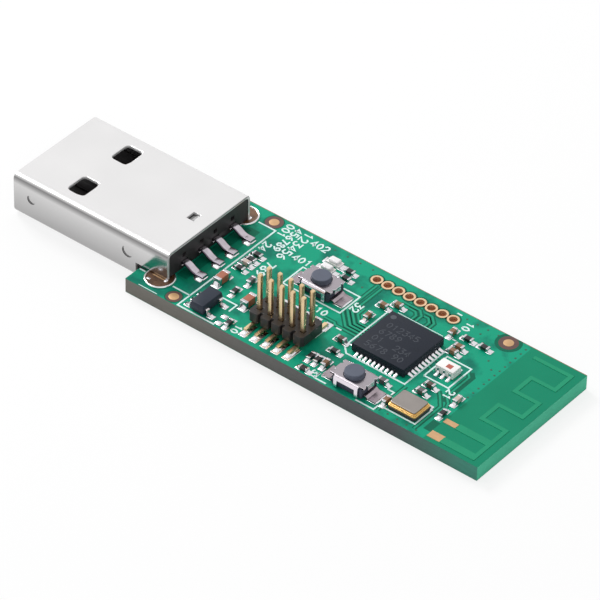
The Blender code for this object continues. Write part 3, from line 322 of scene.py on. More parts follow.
def worn_finish(name, colour, roughness, metallic=0.0, mottle=0.1, lumps=1500, grain=5000,
                relief=0.000002, **sockets):
    """An uneven surface: colour and roughness drift with broad noise, relief follows fine noise."""
    made, tree, shader, place = new_finish(name)
    own = place.outputs["Object"]
    cloud = noise(tree, own, lumps, 4.0)
    base = np.array(paint(*colour)[:3])
    darker = (*(base * (1 - mottle)).tolist(), 1.0)
    paler = (*np.minimum(base * (1 + mottle), 1.0).tolist(), 1.0)
    tree.links.new(blend_colour(tree, cloud, darker, paler), shader.inputs["Base Color"])
    dull = carried(tree, cloud, 0.0, 1.0, roughness * 0.75, roughness * 1.25)
    tree.links.new(dull, shader.inputs["Roughness"])
    shader.inputs["Metallic"].default_value = metallic
    for socket, value in sockets.items():
        shader.inputs[socket.replace("_", " ")].default_value = value
    add_bump(tree, shader, noise(tree, own, grain, 2.0), relief)
    return made


def masked(name, colour, roughness):
    """Green mask over copper or over bare laminate."""
    return worn_finish(name, colour, roughness, lumps=300, Specular_IOR_Level=MASK_SHINE)


gap_finish = masked("mask_over_laminate", (6, 104, 80), 0.32)
plug_shadow_finish = masked("mask_with_painted_plug_shadow", (8, 128, 98), 0.3)
run_finish = masked("mask_over_copper", (34, 162, 126), 0.28)
gaps = [ribbon(line, GAP_WIDTH, 0.008) for line in RUNS]
gaps += [ribbon(line, width, 0.006) for line, width in BARE_PATCHES]
# A lighter patch behind the plug block fades the painted shadow of the plug onto the board
gaps.append((ribbon([(19.9, 5.1), (19.9, -5.0)], 2.0, 0.004), 1))
make_piece("etched_gaps", gaps, [gap_finish, plug_shadow_finish])
make_piece("copper_runs", [ribbon(line, RUN_WIDTH, 0.018) for line in RUNS], [run_finish])

# Printed antenna
# A folded copper track 0.45 mm wide under the mask, fed by two bars that end in bare pads. It
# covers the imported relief, with its corners mitred as etched.
ANTENNA_OUTER = 55.5
ANTENNA_INNER = 52.85
ANTENNA_FIRST = 7.1
ANTENNA_PITCH = 2.45
ANTENNA_FOLDS = 5
ANTENNA_RUN = ((51.3, ANTENNA_FIRST), (ANTENNA_OUTER, -7.7))
FEED_ROWS = (-5.0, -7.3)
FEED_WIDTH = 0.82
fold = [ANTENNA_RUN[0]]
for turn in range(ANTENNA_FOLDS):
    ends = (ANTENNA_INNER, ANTENNA_OUTER) if turn % 2 == 0 else (ANTENNA_OUTER, ANTENNA_INNER)
    fold += [(end, ANTENNA_FIRST - ANTENNA_PITCH * turn) for end in ends[turn == 0:]]
fold.append(ANTENNA_RUN[1])
antenna_finish = masked("masked_antenna", (36, 154, 114), 0.28)
antenna = [ribbon(fold, 0.47, 0.045, lip=0.03)]
antenna += [ribbon([(51.85, row), (55.7, row)], FEED_WIDTH, 0.042) for row in FEED_ROWS]
make_piece("printed_antenna", antenna, [antenna_finish])

pad_finish = worn_finish("bare_gilt_pad", (203, 162, 118), 0.42, 0.45, mottle=0.15, lumps=2500)
feed_pads = [ribbon([(50.45, -5.02), (51.8, -5.02)], 0.62, 0.03),
             ribbon([(50.45, -7.25), (51.9, -7.25)], 0.92, 0.03)]
make_piece("antenna_pads", feed_pads, [pad_finish])

# Plated holes, vias and alignment dots
# Drilled and copper-plated: eight test holes in gilt rings, two large holes that take the plug
# shell's legs, and rows of tiny vias under the mask. Flux has set in the holes. Along the shell's
# walls a near-black strip is painted shadow in the gap under the walls' lower edges. Alignment
# dots sit in dark unmasked rings.
HOLE_RING = 0.61
HOLE_HALO = 0.78
HOLE_BORE = 0.4
HOLE_COUNT = 8
LEG_HOLES = ((18.1, 6.1), (18.1, -6.1))
SEAM_SPAN = (15.72, 17.05)
SEAM_ROWS = (-6.08, 6.08)
DOTS = ((20.94, 7.12, 0.9, 1.02), (20.82, -7.35, 0.78, 0.9), (48.33, 7.25, 0.95, 1.3))


def turned(x, y, profile, steps=32, closed=False, up=0.0):
    """A turned body: each (radius, height) of the profile becomes a circle about (x, y)."""
    angle = np.linspace(0, 2 * np.pi, steps, endpoint=False)
    radius, height = np.array(profile, float).T
    circle = np.stack([np.cos(angle), np.sin(angle)], -1)
    flat = radius[:, None, None] * circle
    rise = np.broadcast_to(height[:, None, None], (*flat.shape[:2], 1))
    return rings_to_body(np.array([x, y, up]) + np.concatenate([flat, rise], -1), closed)


def plated_hole(x, y, bore, ring, top=0.045):
    """A barrel through the board with a flat ring on both faces, as one closed turned body."""
    low = -BOARD_THICKNESS
    skin = 0.03
    profile = [(bore + 0.02, top), (ring - 0.02, top), (ring, top - 0.02), (ring, 0.0),
               (bore + skin, 0.0), (bore + skin, low), (ring, low), (ring, low - 0.01),
               (bore + 0.01, low - 0.01), (bore, low + 0.02), (bore, top - 0.02)]
    return turned(x, y, profile, 40, True)


gilt_ring = worn_finish("gilt_ring", (232, 196, 158), 0.3, 0.7, mottle=0.2, lumps=2500)
hole_places = [HOLE_X + GRID * k for k in range(HOLE_COUNT)]
halo = [(HOLE_HALO, -0.01), (HOLE_HALO, 0.01), (HOLE_RING + 0.01, 0.01), (HOLE_RING + 0.01, -0.01)]
holes = []
for x in hole_places:
    holes.append(plated_hole(x, HOLE_Y, HOLE_BORE, HOLE_RING))
    holes.append((turned(x, HOLE_Y, halo, 36, True), 1))
make_piece("test_hole_plating", holes, [gilt_ring, gap_finish])

old_flux = worn_finish("old_flux", (150, 78, 34), 0.4, mottle=0.5, lumps=3000, Coat_Weight=0.6)
plug = [(0.39, -0.3), (0.25, -0.42), (0.02, -0.46), (0.02, -0.8), (0.39, -0.7)]
make_piece("test_hole_flux", [turned(x, HOLE_Y, plug, 24) for x in hole_places], [old_flux])

tin = worn_finish("tinned_copper", (226, 224, 226), 0.22, 1.0, mottle=0.3, lumps=2200,
                  relief=0.00001)
rim = [(1.32, 0.03), (1.35, 0.09), (1.42, 0.12), (1.49, 0.09), (1.53, 0.0), (1.4, -0.02)]
leg_rings = [plated_hole(x, y, 1.17, 1.5, 0.03) for x, y in LEG_HOLES]
leg_rings += [turned(x, y, rim, 48, True) for x, y in LEG_HOLES]
make_piece("leg_hole_rings", leg_rings, [tin])
pool = [(1.34, 0.05), (1.3, 0.075), (1.18, 0.02), (1.05, -0.14), (0.8, -0.24), (0.4, -0.28),
        (0.02, -0.28), (0.02, -0.6), (1.14, -0.6), (1.14, 0.02)]
pool_finish = worn_finish("solder_and_flux", (104, 70, 44), 0.28, 0.3, mottle=0.9,
                          grain=2500, relief=0.00004, Coat_Weight=0.35)
make_piece("leg_hole_solder", [turned(x, y, pool, 36) for x, y in LEG_HOLES], [pool_finish])
# Painted shadow: a near-black strip under each wall's lower edge
wall_shadow_finish = worn_finish("painted_wall_shadow", (16, 20, 18), 0.5, mottle=0.3, lumps=2000)
seams = [ribbon([(x, y) for x in SEAM_SPAN], 0.15, 0.03) for y in SEAM_ROWS]
make_piece("wall_seam_painted_shadow", seams, [wall_shadow_finish])

dot_ring = worn_finish("unmasked_laminate", (92, 60, 56), 0.5, mottle=0.3, lumps=1800)
brink = BOARD_HALF - 0.02
dots = []
for x, y, ring, dark in DOTS:
    for reach, height, finish in ((dark, 0.006, 2), (ring, 0.012, 0)):
        circle = turned(x, y, [(reach, height), (reach, -0.02)], 40)
        circle[0][:, 1] = np.clip(circle[0][:, 1], -brink, brink)
        dots.append((circle, finish))
    dots.append((turned(x, y, [(0.44, 0.035), (0.5, 0.02), (0.5, -0.01)]), 1))
make_piece("alignment_dots", dots, [dot_ring, pad_finish, gap_finish])

VIA_ROWS = (((23.4, 7.55), (32.4, 7.55), 7), ((43.4, 7.5), (47.0, 7.5), 4),
            ((50.1, 7.5), (50.1, -1.2), 12), ((45.6, 6.6), (49.4, 3.2), 5),
            ((22.6, -4.9), (22.6, 4.4), 4), ((30.4, 1.9), (33.2, 4.9), 3),
            ((44.9, -7.6), (49.3, -7.75), 5), ((16.4, 5.2), (17.0, 7.4), 3))
via_finish = worn_finish("filled_via", (14, 92, 66), 0.4, lumps=900)
via = [(0.06, 0.016), (0.11, 0.01), (0.12, -0.01)]
vias = [turned(x, y, via, 12) for first, last, count in VIA_ROWS
        for x, y in np.linspace(first, last, count)]
make_piece("vias", vias, [via_finish])

# White print
# Outlines of the parts and plain numbers, screen-printed in white ink about 0.02 mm thick over
# the mask. The numbers are plain ones and stand where the real board has printed names.
INK_WIDTH = 0.17
INK_HEIGHT = 0.026
DIGIT_ADVANCE = 1.42
INK_LINES = (
    [(19.8, 6.2), (21.85, 6.2), (21.85, -8.05), (26.2, -8.05)],
    [(15.8, -6.27), (16.5, -6.27)], [(19.8, -6.27), (21.85, -6.27)],
    [(24.3, -4.6), (26.05, -4.6), (26.05, -5.75)],
    [(28.0, 3.65), (27.2, 3.65), (27.2, 0.65), (33.94, 0.65), (33.94, 3.65), (32.0, 3.65)],
    [(39.2, -7.97), (37.9, -7.97), (37.9, -7.1)],
    [(42.6, -7.97), (44.65, -7.97), (44.65, -7.3)], [(44.65, -5.4), (44.65, -4.97), (43.9, -4.97)],
    [(37.2, 3.6), (37.2, -2.7), (37.95, -3.45), (44.65, -3.45), (44.65, 2.6)],
    [(44.1, 4.35), (44.5, 4.35)],
    [(45.25, -1.35), (45.25, 2.1), (48.0, 2.1), (48.0, -1.35), (45.25, -1.35)],
    [(34.4, -1.95), (34.4, -3.6)], [(45.15, -7.18), (48.72, -7.18), (48.72, -4.6)],
    [(42.2, 7.6), (42.75, 7.6)], [(35.0, -1.2), (35.6, -1.2)],
)
FINE_LINES = ([(38.0, 4.12), (43.2, 4.12)], [(17.2, -8.08), (19.4, -8.08)])
STROKES = {
    "0": [(0.5, 0), (0.15, 0.3), (0, 0.8), (0.15, 1.3), (0.5, 1.6), (0.85, 1.3), (1, 0.8),
          (0.85, 0.3), (0.5, 0)],
    "1": [(0.15, 1.25), (0.55, 1.6), (0.55, 0)],
    "2": [(0, 1.25), (0.25, 1.6), (0.75, 1.6), (1, 1.25), (0.9, 0.85), (0, 0), (1, 0)],
    "3": [(0, 1.6), (1, 1.6), (0.45, 0.95), (0.85, 0.85), (1, 0.45), (0.7, 0), (0.25, 0),
          (0, 0.3)],
    "4": [(0.75, 0), (0.75, 1.6), (0, 0.5), (1.05, 0.5)],
    "5": [(0.95, 1.6), (0.1, 1.6), (0.05, 0.9), (0.65, 0.95), (1, 0.55), (0.7, 0), (0, 0.1)],
    "6": [(0.85, 1.6), (0.25, 1.1), (0, 0.5), (0.3, 0), (0.7, 0), (1, 0.4), (0.7, 0.85),
          (0.15, 0.75)],
    "7": [(0, 1.6), (1, 1.6), (0.4, 0)],
    "8": [(0.5, 0.85), (0.1, 1.2), (0.3, 1.6), (0.7, 1.6), (0.9, 1.2), (0.5, 0.85), (1, 0.4),
          (0.75, 0), (0.25, 0), (0, 0.4), (0.5, 0.85)],
    "9": [(0.15, 0), (0.75, 0.5), (1, 1.1), (0.7, 1.6), (0.3, 1.6), (0, 1.2), (0.3, 0.75),
          (0.85, 0.85)],
}
# Digits, start of their base line, height, quarter turns
NUMBERS = (
    ("001", 22.15, 7.8, 0.8, -1), ("24", 22.15, 4.35, 0.8, -1),
    ("456789", 23.2, 7.75, 0.75, -1),
    ("123456 789", 24.25, 7.85, 0.9, -1),
    ("402", 25.55, 6.65, 0.8, 0), ("401", 25.55, 3.95, 0.8, 0),
    ("32", 34.25, 2.85, 0.8, -1), ("510", 31.3, -0.65, 0.75, 0),
    ("10", 27.85, -6.75, 0.7, -1), ("21", 48.15, -1.45, 0.75, -1),
    ("10", 43.75, 7.2, 0.75, -1), ("31", 37.2, -7.1, 0.65, -1),
)


def number_lines(text, x, y, height, quarter):
    """Strokes of plain numbers, drawn on a 1 by 1.6 field and turned by quarter turns."""
    size = height / 1.6
    heading = np.array([math.cos(quarter * math.pi / 2), math.sin(quarter * math.pi / 2)])
    upward = np.array([-heading[1], heading[0]])
    lines = []
    for place, digit in enumerate(text):
        if digit in STROKES:
            stroke = np.array(STROKES[digit], float) * size
            stroke[:, 0] += place * size * DIGIT_ADVANCE
            lines.append(np.array([x, y]) + stroke[:, :1] * heading + stroke[:, 1:] * upward)
    return lines


ink = worn_finish("white_ink", (224, 250, 245), 0.5, mottle=0.12, lumps=1600, relief=0.000004)
print_lines = [ribbon(line, INK_WIDTH, INK_HEIGHT) for line in INK_LINES]
print_lines += [ribbon(line, INK_WIDTH / 2, INK_HEIGHT) for line in FINE_LINES]
print_lines += [ribbon(line, INK_WIDTH, INK_HEIGHT) for entry in NUMBERS
                for line in number_lines(*entry)]
make_piece("white_print", print_lines, [ink])

# Plug shell
# One sheet of nickel-plated steel, 0.3 mm thick, blanked, folded to a box with its seam below
# and soldered by two legs in the board. Its cut edges are slightly rounded by tumbling.
FOLD_ANGLE = 30
SHELL_TOP_LEVEL = 3.0
SHELL_SHEET = 0.3
SHELL_HALF = 6.0
TOP_FLAT_HALF = 5.2
TAB_SPAN = (16.4, 17.9)
# Middle and reach of the zone of the walls' dimples, upward and along the plug
DIMPLE_LEVELS = (2.56, 0.72)
DIMPLE_SPAN = (8.1, 7.5)
# Painted shade in the sunk parts of the top: the lanced tab and the shell's inside
SUNK_PAINTED_SHADE = 0.6
CUT_SHADE = 0.72
# Painted shade on the dimples' rims
DIMPLE_PAINTED_SHADE = 0.1
# How far up the surface looks where the top ends and where the wall begins
FOLD_TURN = (0.82, 0.5)
# Height share up the wall and how bright the nickel is painted there: a painted reflection, dark in
# a band under the top fold, and painted shade, darker towards the bottom
WALL_PAINTED_SHADES = ((0.0, 0.47), (0.5, 0.65), (0.79, 0.78), (0.9, 0.4), (1.0, 0.06))


def dressed_copy(name, finish, width, steps=2, rides="stick", weigh=None):
    """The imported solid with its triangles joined, its flat faces whole and its edges rounded.

    weigh gives each sharp edge a share of the width from its two ends (edges x 2 x 3).
    """
    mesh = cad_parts[name].data.copy()
    mesh.materials.clear()
    mesh.materials.append(finish)
    clean(mesh, 3e-7, FOLD_ANGLE, flatten=True)
    mesh.polygons.foreach_set("material_index", np.zeros(len(mesh.polygons), np.int32))
    share = np.zeros(len(mesh.edges), bool)
    mesh.attributes["sharp_edge"].data.foreach_get("value", share)
    share = share.astype(np.float32)
    if weigh:
        corners = np.empty(len(mesh.vertices) * 3)
        mesh.vertices.foreach_get("co", corners)
        pairs = np.empty(len(mesh.edges) * 2, np.int32)
        mesh.edges.foreach_get("vertices", pairs)
        share *= weigh((corners.reshape(-1, 3)[pairs.reshape(-1, 2)] - ORIGIN) / MM)
    mesh.attributes.new("bevel_weight_edge", "FLOAT", "EDGE").data.foreach_set("value", share)
    piece = new_object(name + "_finished", mesh)
    edge = piece.modifiers.new("rounded_edges", "BEVEL")
    edge.width = width * MM
    edge.segments = steps
    edge.limit_method = "WEIGHT"
    edge.use_clamp_overlap = False
    flat = piece.modifiers.new("flat_faces", "WEIGHTED_NORMAL")
    flat.keep_sharp = True
    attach(piece, rides)
    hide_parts(name)
    return piece


def shell_edge_shares(ends):
    """Full rounding on the rims in the top face, half of it round the mouth, little elsewhere."""
    level = np.abs(ends[:, :, 2] - SHELL_TOP_LEVEL).max(1)
    along = ends[:, :, 0].mean(1)
    at_mouth = np.abs(ends[:, :, 0]).max(1) < 0.01
    on_tab = (along > TAB_SPAN[0]) & (along < TAB_SPAN[1]) & (np.abs(ends[:, :, 1]).max(1) < 0.6)
    return np.where(on_tab, 0.15, np.where(at_mouth, 0.45, np.where(level < 0.02, 1.0, 0.2)))


def grey(value):
    """An even linear grey."""
    return (value, value, value, 1.0)


def graded(tree, value, levels):
    """A colour that follows the value through the colours given for rising levels."""
    ramp = node(tree, "ShaderNodeValToRGB", {0: value})
    stops = ramp.color_ramp.elements
    for number, (level, colour) in enumerate(levels):
        stop = stops[number] if number < 2 else stops.new(level)
        stop.position = level
        stop.color = colour
    return ramp.outputs[0]


def all_of(tree, mask, *others):
    """1 where every mask is 1: their product."""
    for other in others:
        mask = worked(tree, "MULTIPLY", mask, other)
    return mask


def shell_finish():
    """Bright nickel with painted reflection and painted shade: a dark band under the top fold,
    darker towards the walls' bottom, painted shade in the sunk parts and on the dimples' rims, and
    bare grey steel where the sheet was cut."""
    made = worn_finish("bright_nickel", (233, 232, 232), 0.18, 1.0, mottle=0.03, lumps=220,
                       grain=9000, relief=0.0000006)
    tree = made.node_tree
    shader = tree.nodes["Principled BSDF"]
    place = node(tree, "ShaderNodeTexCoord")
    x, y, z = parts_of(tree, place.outputs["Object"])
    lengthwise, sideways, upward = (worked(tree, "ABSOLUTE", part)
                                    for part in parts_of(tree, place.outputs["Normal"]))
    top = (SHELL_TOP_LEVEL + BOARD_THICKNESS) * MM
    # Painted reflection and painted shade on the upright faces, by height up the wall
    shades = graded(tree, carried(tree, z, 0.0, top),
                    [(level, grey(shade)) for level, shade in WALL_PAINTED_SHADES])
    shade = blend_colour(tree, carried(tree, upward, *FOLD_TURN), grey(1.0), shades)
    # Painted shade where the surface lies below the top face
    inland = worked(tree, "COMPARE", y, 0.0, TOP_FLAT_HALF * MM)
    sunk = worked(tree, "LESS_THAN", z, top - 0.03 * MM)
    shade = blend_colour(tree, all_of(tree, inland, sunk), shade, grey(SUNK_PAINTED_SHADE))
    plain = shader.inputs["Base Color"].links[0].from_socket
    painted_nickel = blend_colour(tree, 1.0, plain, shade, "MULTIPLY")

    half_sheet = SHELL_SHEET / 2 * MM
    in_sheet = worked(tree, "COMPARE", z, top - half_sheet, half_sheet)
    upright = worked(tree, "LESS_THAN", upward, 0.5)
    end_on = worked(tree, "GREATER_THAN", lengthwise, 0.8)
    cut = worked(tree, "MAXIMUM", all_of(tree, in_sheet, upright, inland), end_on)
    # Painted shade: the sloped faces of the walls' dimples
    aside = worked(tree, "GREATER_THAN", worked(tree, "ABSOLUTE", y), (SHELL_HALF - 0.15) * MM)
    level = worked(tree, "COMPARE", z, *(size * MM for size in DIMPLE_LEVELS))
    middle, reach = DIMPLE_SPAN
    between_ends = worked(tree, "COMPARE", x, cad_box[0].x + middle * MM, reach * MM)
    inward = worked(tree, "LESS_THAN", sideways, 0.7)
    dimple = all_of(tree, aside, level, between_ends, inward)
    cut = worked(tree, "SUBTRACT", cut, all_of(tree, cut, dimple))
    colour = blend_colour(tree, cut, painted_nickel, grey(CUT_SHADE))
    colour = blend_colour(tree, dimple, colour, grey(DIMPLE_PAINTED_SHADE))
    tree.links.new(colour, shader.inputs["Base Color"])
    tree.links.new(carried(tree, cut, 0.0, 1.0, 1.0, 0.15), shader.inputs["Metallic"])
    return made


dressed_copy("usb_shell", shell_finish(), 0.12, 3, weigh=shell_edge_shares)

# Tongue block
# Black glass-filled moulding: the tongue and its ribs inside the plug, and the square block with
# four small recesses that closes the shell's rear.
black = worn_finish("black_moulding", (52, 48, 50), 0.46, mottle=0.3, grain=7000,
                    relief=0.000006, Specular_IOR_Level=0.36)
dressed_copy("usb_insulator", black, 0.04)

# Plug contacts
# Four strips of tinned spring bronze, stamped 0.85 mm wide, that leave the block in an easy
# double bend and end flat on their pads. A shoulder of the strip shows beside each exit.
STRIP_SHEET = 0.3
STRIP_FOOT = 1.15
STRIP_DROP = 0.9
BLOCK_REAR = 18.9


def four_quarters(steps):
    """The angles of a circle cut in four quarters, and the side in x and y that each goes to."""
    quarter = np.linspace(0, np.pi / 2, steps + 1)
    angle = np.concatenate([quarter + k * np.pi / 2 for k in range(4)])
    return angle, np.repeat([1, -1, -1, 1], steps + 1), np.repeat([1, 1, -1, -1], steps + 1)


def soft_ring(half_x, half_y, corner, steps=2):
    """A rounded rectangle: a circle cut in four quarters that are pulled apart to its corners."""
    angle, side_x, side_y = four_quarters(steps)
    return np.stack([side_x * (half_x - corner) + corner * np.cos(angle),
                     side_y * (half_y - corner) + corner * np.sin(angle)], -1)


def bent_line(corners, reach, steps=5):
    """A line with each inner corner c eased into the curve (1-t)^2 a + 2t(1-t) c + t^2 b, where
    a lies reach before the corner and b lies reach after it."""
    corner = np.asarray(corners, float)
    run = np.diff(corner, axis=0)
    run /= np.linalg.norm(run, axis=1)[:, None]
    t = np.linspace(0, 1, steps + 1)[None, :, None]
    middle = corner[1:-1, None]
    before = middle - reach * run[:-1, None]
    after = middle + reach * run[1:, None]
    curve = (1 - t) ** 2 * before + 2 * t * (1 - t) * middle + t ** 2 * after
    return np.vstack([corner[:1], curve.reshape(-1, 3), corner[-1:]])


def box_of(name):
    """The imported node's lowest corner, highest corner and middle, as make_piece takes them."""
    low, high = ((np.array(corner) - ORIGIN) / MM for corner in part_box(name))
    return low, high, (low + high) / 2


def soft_box(centre, size, radius, steps=3):
    """A box with rounded edges: a ball cut in eight octants that are pulled apart to its corners.

    radius is one size, or one for each axis where the edges are flatter one way.
    """
    around, side_x, side_y = four_quarters(steps)
    polar = around[:2 * steps + 2, None]
    side_z = np.repeat([1, -1], steps + 1)[:, None]
    ball = np.stack(np.broadcast_arrays(np.sin(polar) * np.cos(around),
                                        np.sin(polar) * np.sin(around), np.cos(polar)), -1)
    corner = np.stack(np.broadcast_arrays(side_x, side_y, side_z), -1)
    reach = np.array(size, float) / 2 - radius
    return rings_to_body(np.array(centre, float) + corner * reach + ball * radius)


def fill(low, high, radius, grow=0.0):
    """A soft box between two corners, grown on every side."""
    low, high = np.array(low, float), np.array(high, float)
    return soft_box((low + high) / 2, high - low + 2 * grow, radius)


bright_tin = worn_finish("bright_tin", (206, 202, 206), 0.2, 1.0, mottle=0.22, lumps=1700,
                         relief=0.000004)


def repainted(made, axis, low, high, colour):
    """Paints light or shade into a finish by where the surface turns: blends it to another colour
    as the size of its normal's part along the axis goes from low to high."""
    tree = made.node_tree
    target = tree.nodes["Principled BSDF"].inputs["Base Color"]
    facing = parts_of(tree, node(tree, "ShaderNodeTexCoord").outputs["Normal"])
    share = carried(tree, worked(tree, "ABSOLUTE", facing[axis]), low, high)
    plain = target.links[0].from_socket
    tree.links.new(blend_colour(tree, share, plain, paint(*colour)), target)
    return made


# Painted shade: the strip's two rolled edges are painted darker than its bright middle
strip_tin = worn_finish("strip_tin", (192, 184, 192), 0.14, 1.0, mottle=0.3,
                        grain=3200, relief=0.000005)
strip_tin = repainted(strip_tin, 1, 0.1, 0.6, (88, 80, 92))
# Painted shade: the strip's part inside the plug is painted darker, as it lies in the shell's shade
shaded_tin = worn_finish("strip_in_painted_shade", (62, 60, 62), 0.5, 0.6)
for number in range(1, 5):
    strip = f"usb_contact_{number}"
    low, high, (_, y, _) = box_of(strip)
    upper = high[2] - STRIP_SHEET / 2
    lower = low[2] + STRIP_SHEET / 2
    section = soft_ring(STRIP_SHEET / 2, (high[1] - low[1]) / 2, 0.145, 4)
    corners = [(BLOCK_REAR, y, upper), (high[0] - STRIP_FOOT - STRIP_DROP, y, upper),
               (high[0] - STRIP_FOOT, y, lower), (high[0], y, lower)]
    outside = sweep(bent_line(corners, 0.38, 8), (0.0, 1.0, 0.0), section)
    inside = sweep([(low[0], y, upper), (BLOCK_REAR - 0.02, y, upper)], (0.0, 1.0, 0.0), section)
    shoulder = fill((BLOCK_REAR + 0.02, low[1] - 0.22, upper - 0.12),
                    (BLOCK_REAR + 0.22, low[1] + 0.05, upper + 0.02), 0.03)
    make_piece(strip + "_strip", [outside, (inside, 1), (shoulder, 2)],
               [strip_tin, shaded_tin, bright_tin], strip)

# Pin header
# A glossy black moulding in five lobed pairs, with ten square brass pins under a thin gilt. Each
# pin is one wire: a foot on its pad, a bend, and a post with a swaged tip.
header_black = worn_finish("header_moulding", (48, 45, 45), 0.3, mottle=0.3, lumps=1900,
                           relief=0.00001, Specular_IOR_Level=0.36)
dressed_copy("header_body", header_black, 0.05)

PIN_HALF = 0.2
# Drop below the pin's top and share of its full width there
PIN_TIP = ((0.42, 1.0), (0.26, 0.98), (0.14, 0.88), (0.05, 0.68), (0.0, 0.4))
gilt = worn_finish("gilt_brass", (228, 200, 160), 0.28, 1.0, mottle=0.2, lumps=1300, grain=3500,
                   relief=0.0000012)
for number in range(1, 11):
    pin = f"header_pin_{number:02d}"
    low, high, (x, _, _) = box_of(pin)
    outward = -1 if number <= 5 else 1
    post = (high[1] if outward < 0 else low[1]) + outward * PIN_HALF
    foot = low[1] if outward < 0 else high[1]
    tip = [(x, post, high[2] - drop) for drop, _ in PIN_TIP]
    corners = [(x, foot, low[2] + PIN_HALF), (x, post, low[2] + PIN_HALF), tip[0]]
    path = np.vstack([bent_line(corners, 0.22), tip[1:]])
    share = np.ones(len(path))
    share[-len(PIN_TIP):] = [width for _, width in PIN_TIP]
    section = soft_ring(PIN_HALF, PIN_HALF, 0.05) * share[:, None, None]
    make_piece(pin + "_wire", [sweep(path, (1.0, 0.0, 0.0), section)], [gilt], pin)

# Push buttons
# A pressed steel cover with folded flaps and end tabs, clipped over a slate-coloured base. The
# plunger is a grey moulding and the terminals are tinned strips. Inside, a thin tinned dome
# springs back after the plunger has pressed it flat.
DOME_SHEET = 0.06

# Painted light: the folded flaps are painted brighter than the top
cover_steel = worn_finish("pressed_steel", (168, 161, 167), 0.24, 1.0, mottle=0.08, lumps=900,
                          grain=5200, relief=0.0000004)
cover_steel = repainted(cover_steel, 2, 0.95, 0.6, (232, 224, 232))
slate = worn_finish("slate_moulding", (62, 67, 84), 0.5, mottle=0.2, relief=0.000003,
                    Specular_IOR_Level=0.3)
plunger_grey = worn_finish("plunger_moulding", (88, 94, 110), 0.45, mottle=0.12, lumps=1300,
                           relief=0.000003, Specular_IOR_Level=0.35)
terminal_tin = worn_finish("terminal_tin", (166, 154, 160), 0.28, 1.0, mottle=0.4, lumps=2000,
                           relief=0.000004)
for number in (1, 2):
    button = f"button_{number}_"
    dressed_copy(button + "cover", cover_steel, 0.035)
    dressed_copy(button + "base", slate, 0.03)
    dressed_copy(button + "plunger", plunger_grey, 0.03,
                 rides=f"button_{number}_key")
    dressed_copy(button + "terminal_left", terminal_tin, 0.02)
    dressed_copy(button + "terminal_right", terminal_tin, 0.02)
    low, high, (x, y, _) = box_of(button + "dome")
    radius = np.linspace(0.02, (high[0] - low[0]) / 2, 8)
    arch = high[2] - (high[2] - low[2] - DOME_SHEET) * (radius / radius[-1]) ** 2
    skin = [*zip(radius, arch), *zip(radius[::-1], arch[::-1] - DOME_SHEET)]
    dome = make_piece(button + "dome_disc", [turned(x, y, skin)], [bright_tin],
                      button + "dome")
    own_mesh(dome)

# Radio chip
# A square block of black epoxy on a copper frame, moulded and sawn, with ten tinned contacts
# along each side. A dimple shows its first contact, and faint plain numbers stand for its marks.
CHIP_CONTACTS = 10
CHIP_PITCH = 0.5
MARKS_START = 39.0
CHIP_MARKS = (("012345", 0.95), ("6789", -0.15), ("01  234", -1.25), ("5678 90", -2.3))
epoxy = worn_finish("moulded_epoxy", (28, 34, 46), 0.5, mottle=0.16, lumps=1400, grain=8000,
                    relief=0.000003, Specular_IOR_Level=0.2)
dimple = worn_finish("moulded_dimple", (66, 71, 80), 0.4, lumps=2000)
low, high, chip_middle = box_of("radio_chip")
chip_bodies = [fill(low + (0.03, 0.03, 0.0), high - (0.03, 0.03, 0.0), 0.07),
               (turned(low[0] + 0.72, high[1] - 0.72, [(0.24, 0.004), (0.29, 0.0), (0.29, -0.01)],
                       24, up=high[2]), 2)]
for digits, y in CHIP_MARKS:
    for line in number_lines(digits, MARKS_START, y, 0.7, 0):
        points, quads, ends = ribbon(line, 0.1, 0.004, 0.01, 0.002)
        chip_bodies.append(((points + (0.0, 0.0, high[2]), quads, ends), 3))
chip_steps = (np.arange(CHIP_CONTACTS) - (CHIP_CONTACTS - 1) / 2) * CHIP_PITCH
for step in chip_steps:
    for side in (0, 1):
        for edge in (low, high):
            place = np.array([*chip_middle[:2] + step, low[2] + 0.1])
            place[side] = edge[side]
            size = np.array([0.24, 0.24, 0.2])
            size[side] = 0.1
            chip_bodies.append((soft_box(place, size, 0.025, 1), 1))
etched = worn_finish("faint_marks", (46, 52, 63), 0.6, lumps=2400)
make_piece("radio_chip_body", chip_bodies, [epoxy, bright_tin, dimple, etched],
           "radio_chip")

# Crystal
# A dark ceramic tray with a gilt sealing ring brazed round its rim and a satin lid welded on
# the ring.
tray = worn_finish("dark_ceramic", (46, 44, 48), 0.5)
lid = worn_finish("satin_lid", (152, 146, 142), 0.34, 1.0, lumps=500, grain=2600, relief=0.00001)
ring_gold = worn_finish("sealing_ring", (255, 196, 116), 0.28, 0.3, mottle=0.12)
dressed_copy("crystal_case", tray, 0.04)
dressed_copy("crystal_lid", lid, 0.03)


def stacked(middle, half, levels, corner, steps=2):
    """A rounded block whose outline shrinks by the inset given for each level."""
    rings = [np.column_stack([soft_ring(half[0] - inset, half[1] - inset, corner, steps)
                              + middle[:2], np.full(4 * (steps + 1), level)])
             for level, inset in levels]
    return rings_to_body(np.stack(rings))


low, high, middle = box_of("crystal_ring")
lid_low, lid_high, _ = box_of("crystal_lid")
half = (high - low)[:2] / 2 + 0.03
inset = half[0] - (lid_high[0] - lid_low[0]) / 2 - 0.03
braze = ((low[2] - 0.03, 0.0), (low[2] + 0.1, 0.0), (low[2] + 0.13, inset * 0.5),
         (low[2] + 0.23, inset * 0.55), (low[2] + 0.26, inset), (high[2] + 0.03, inset))
make_piece("crystal_braze", [stacked(middle, half, braze, 0.25, 4)], [ring_gold],
           "crystal_ring")

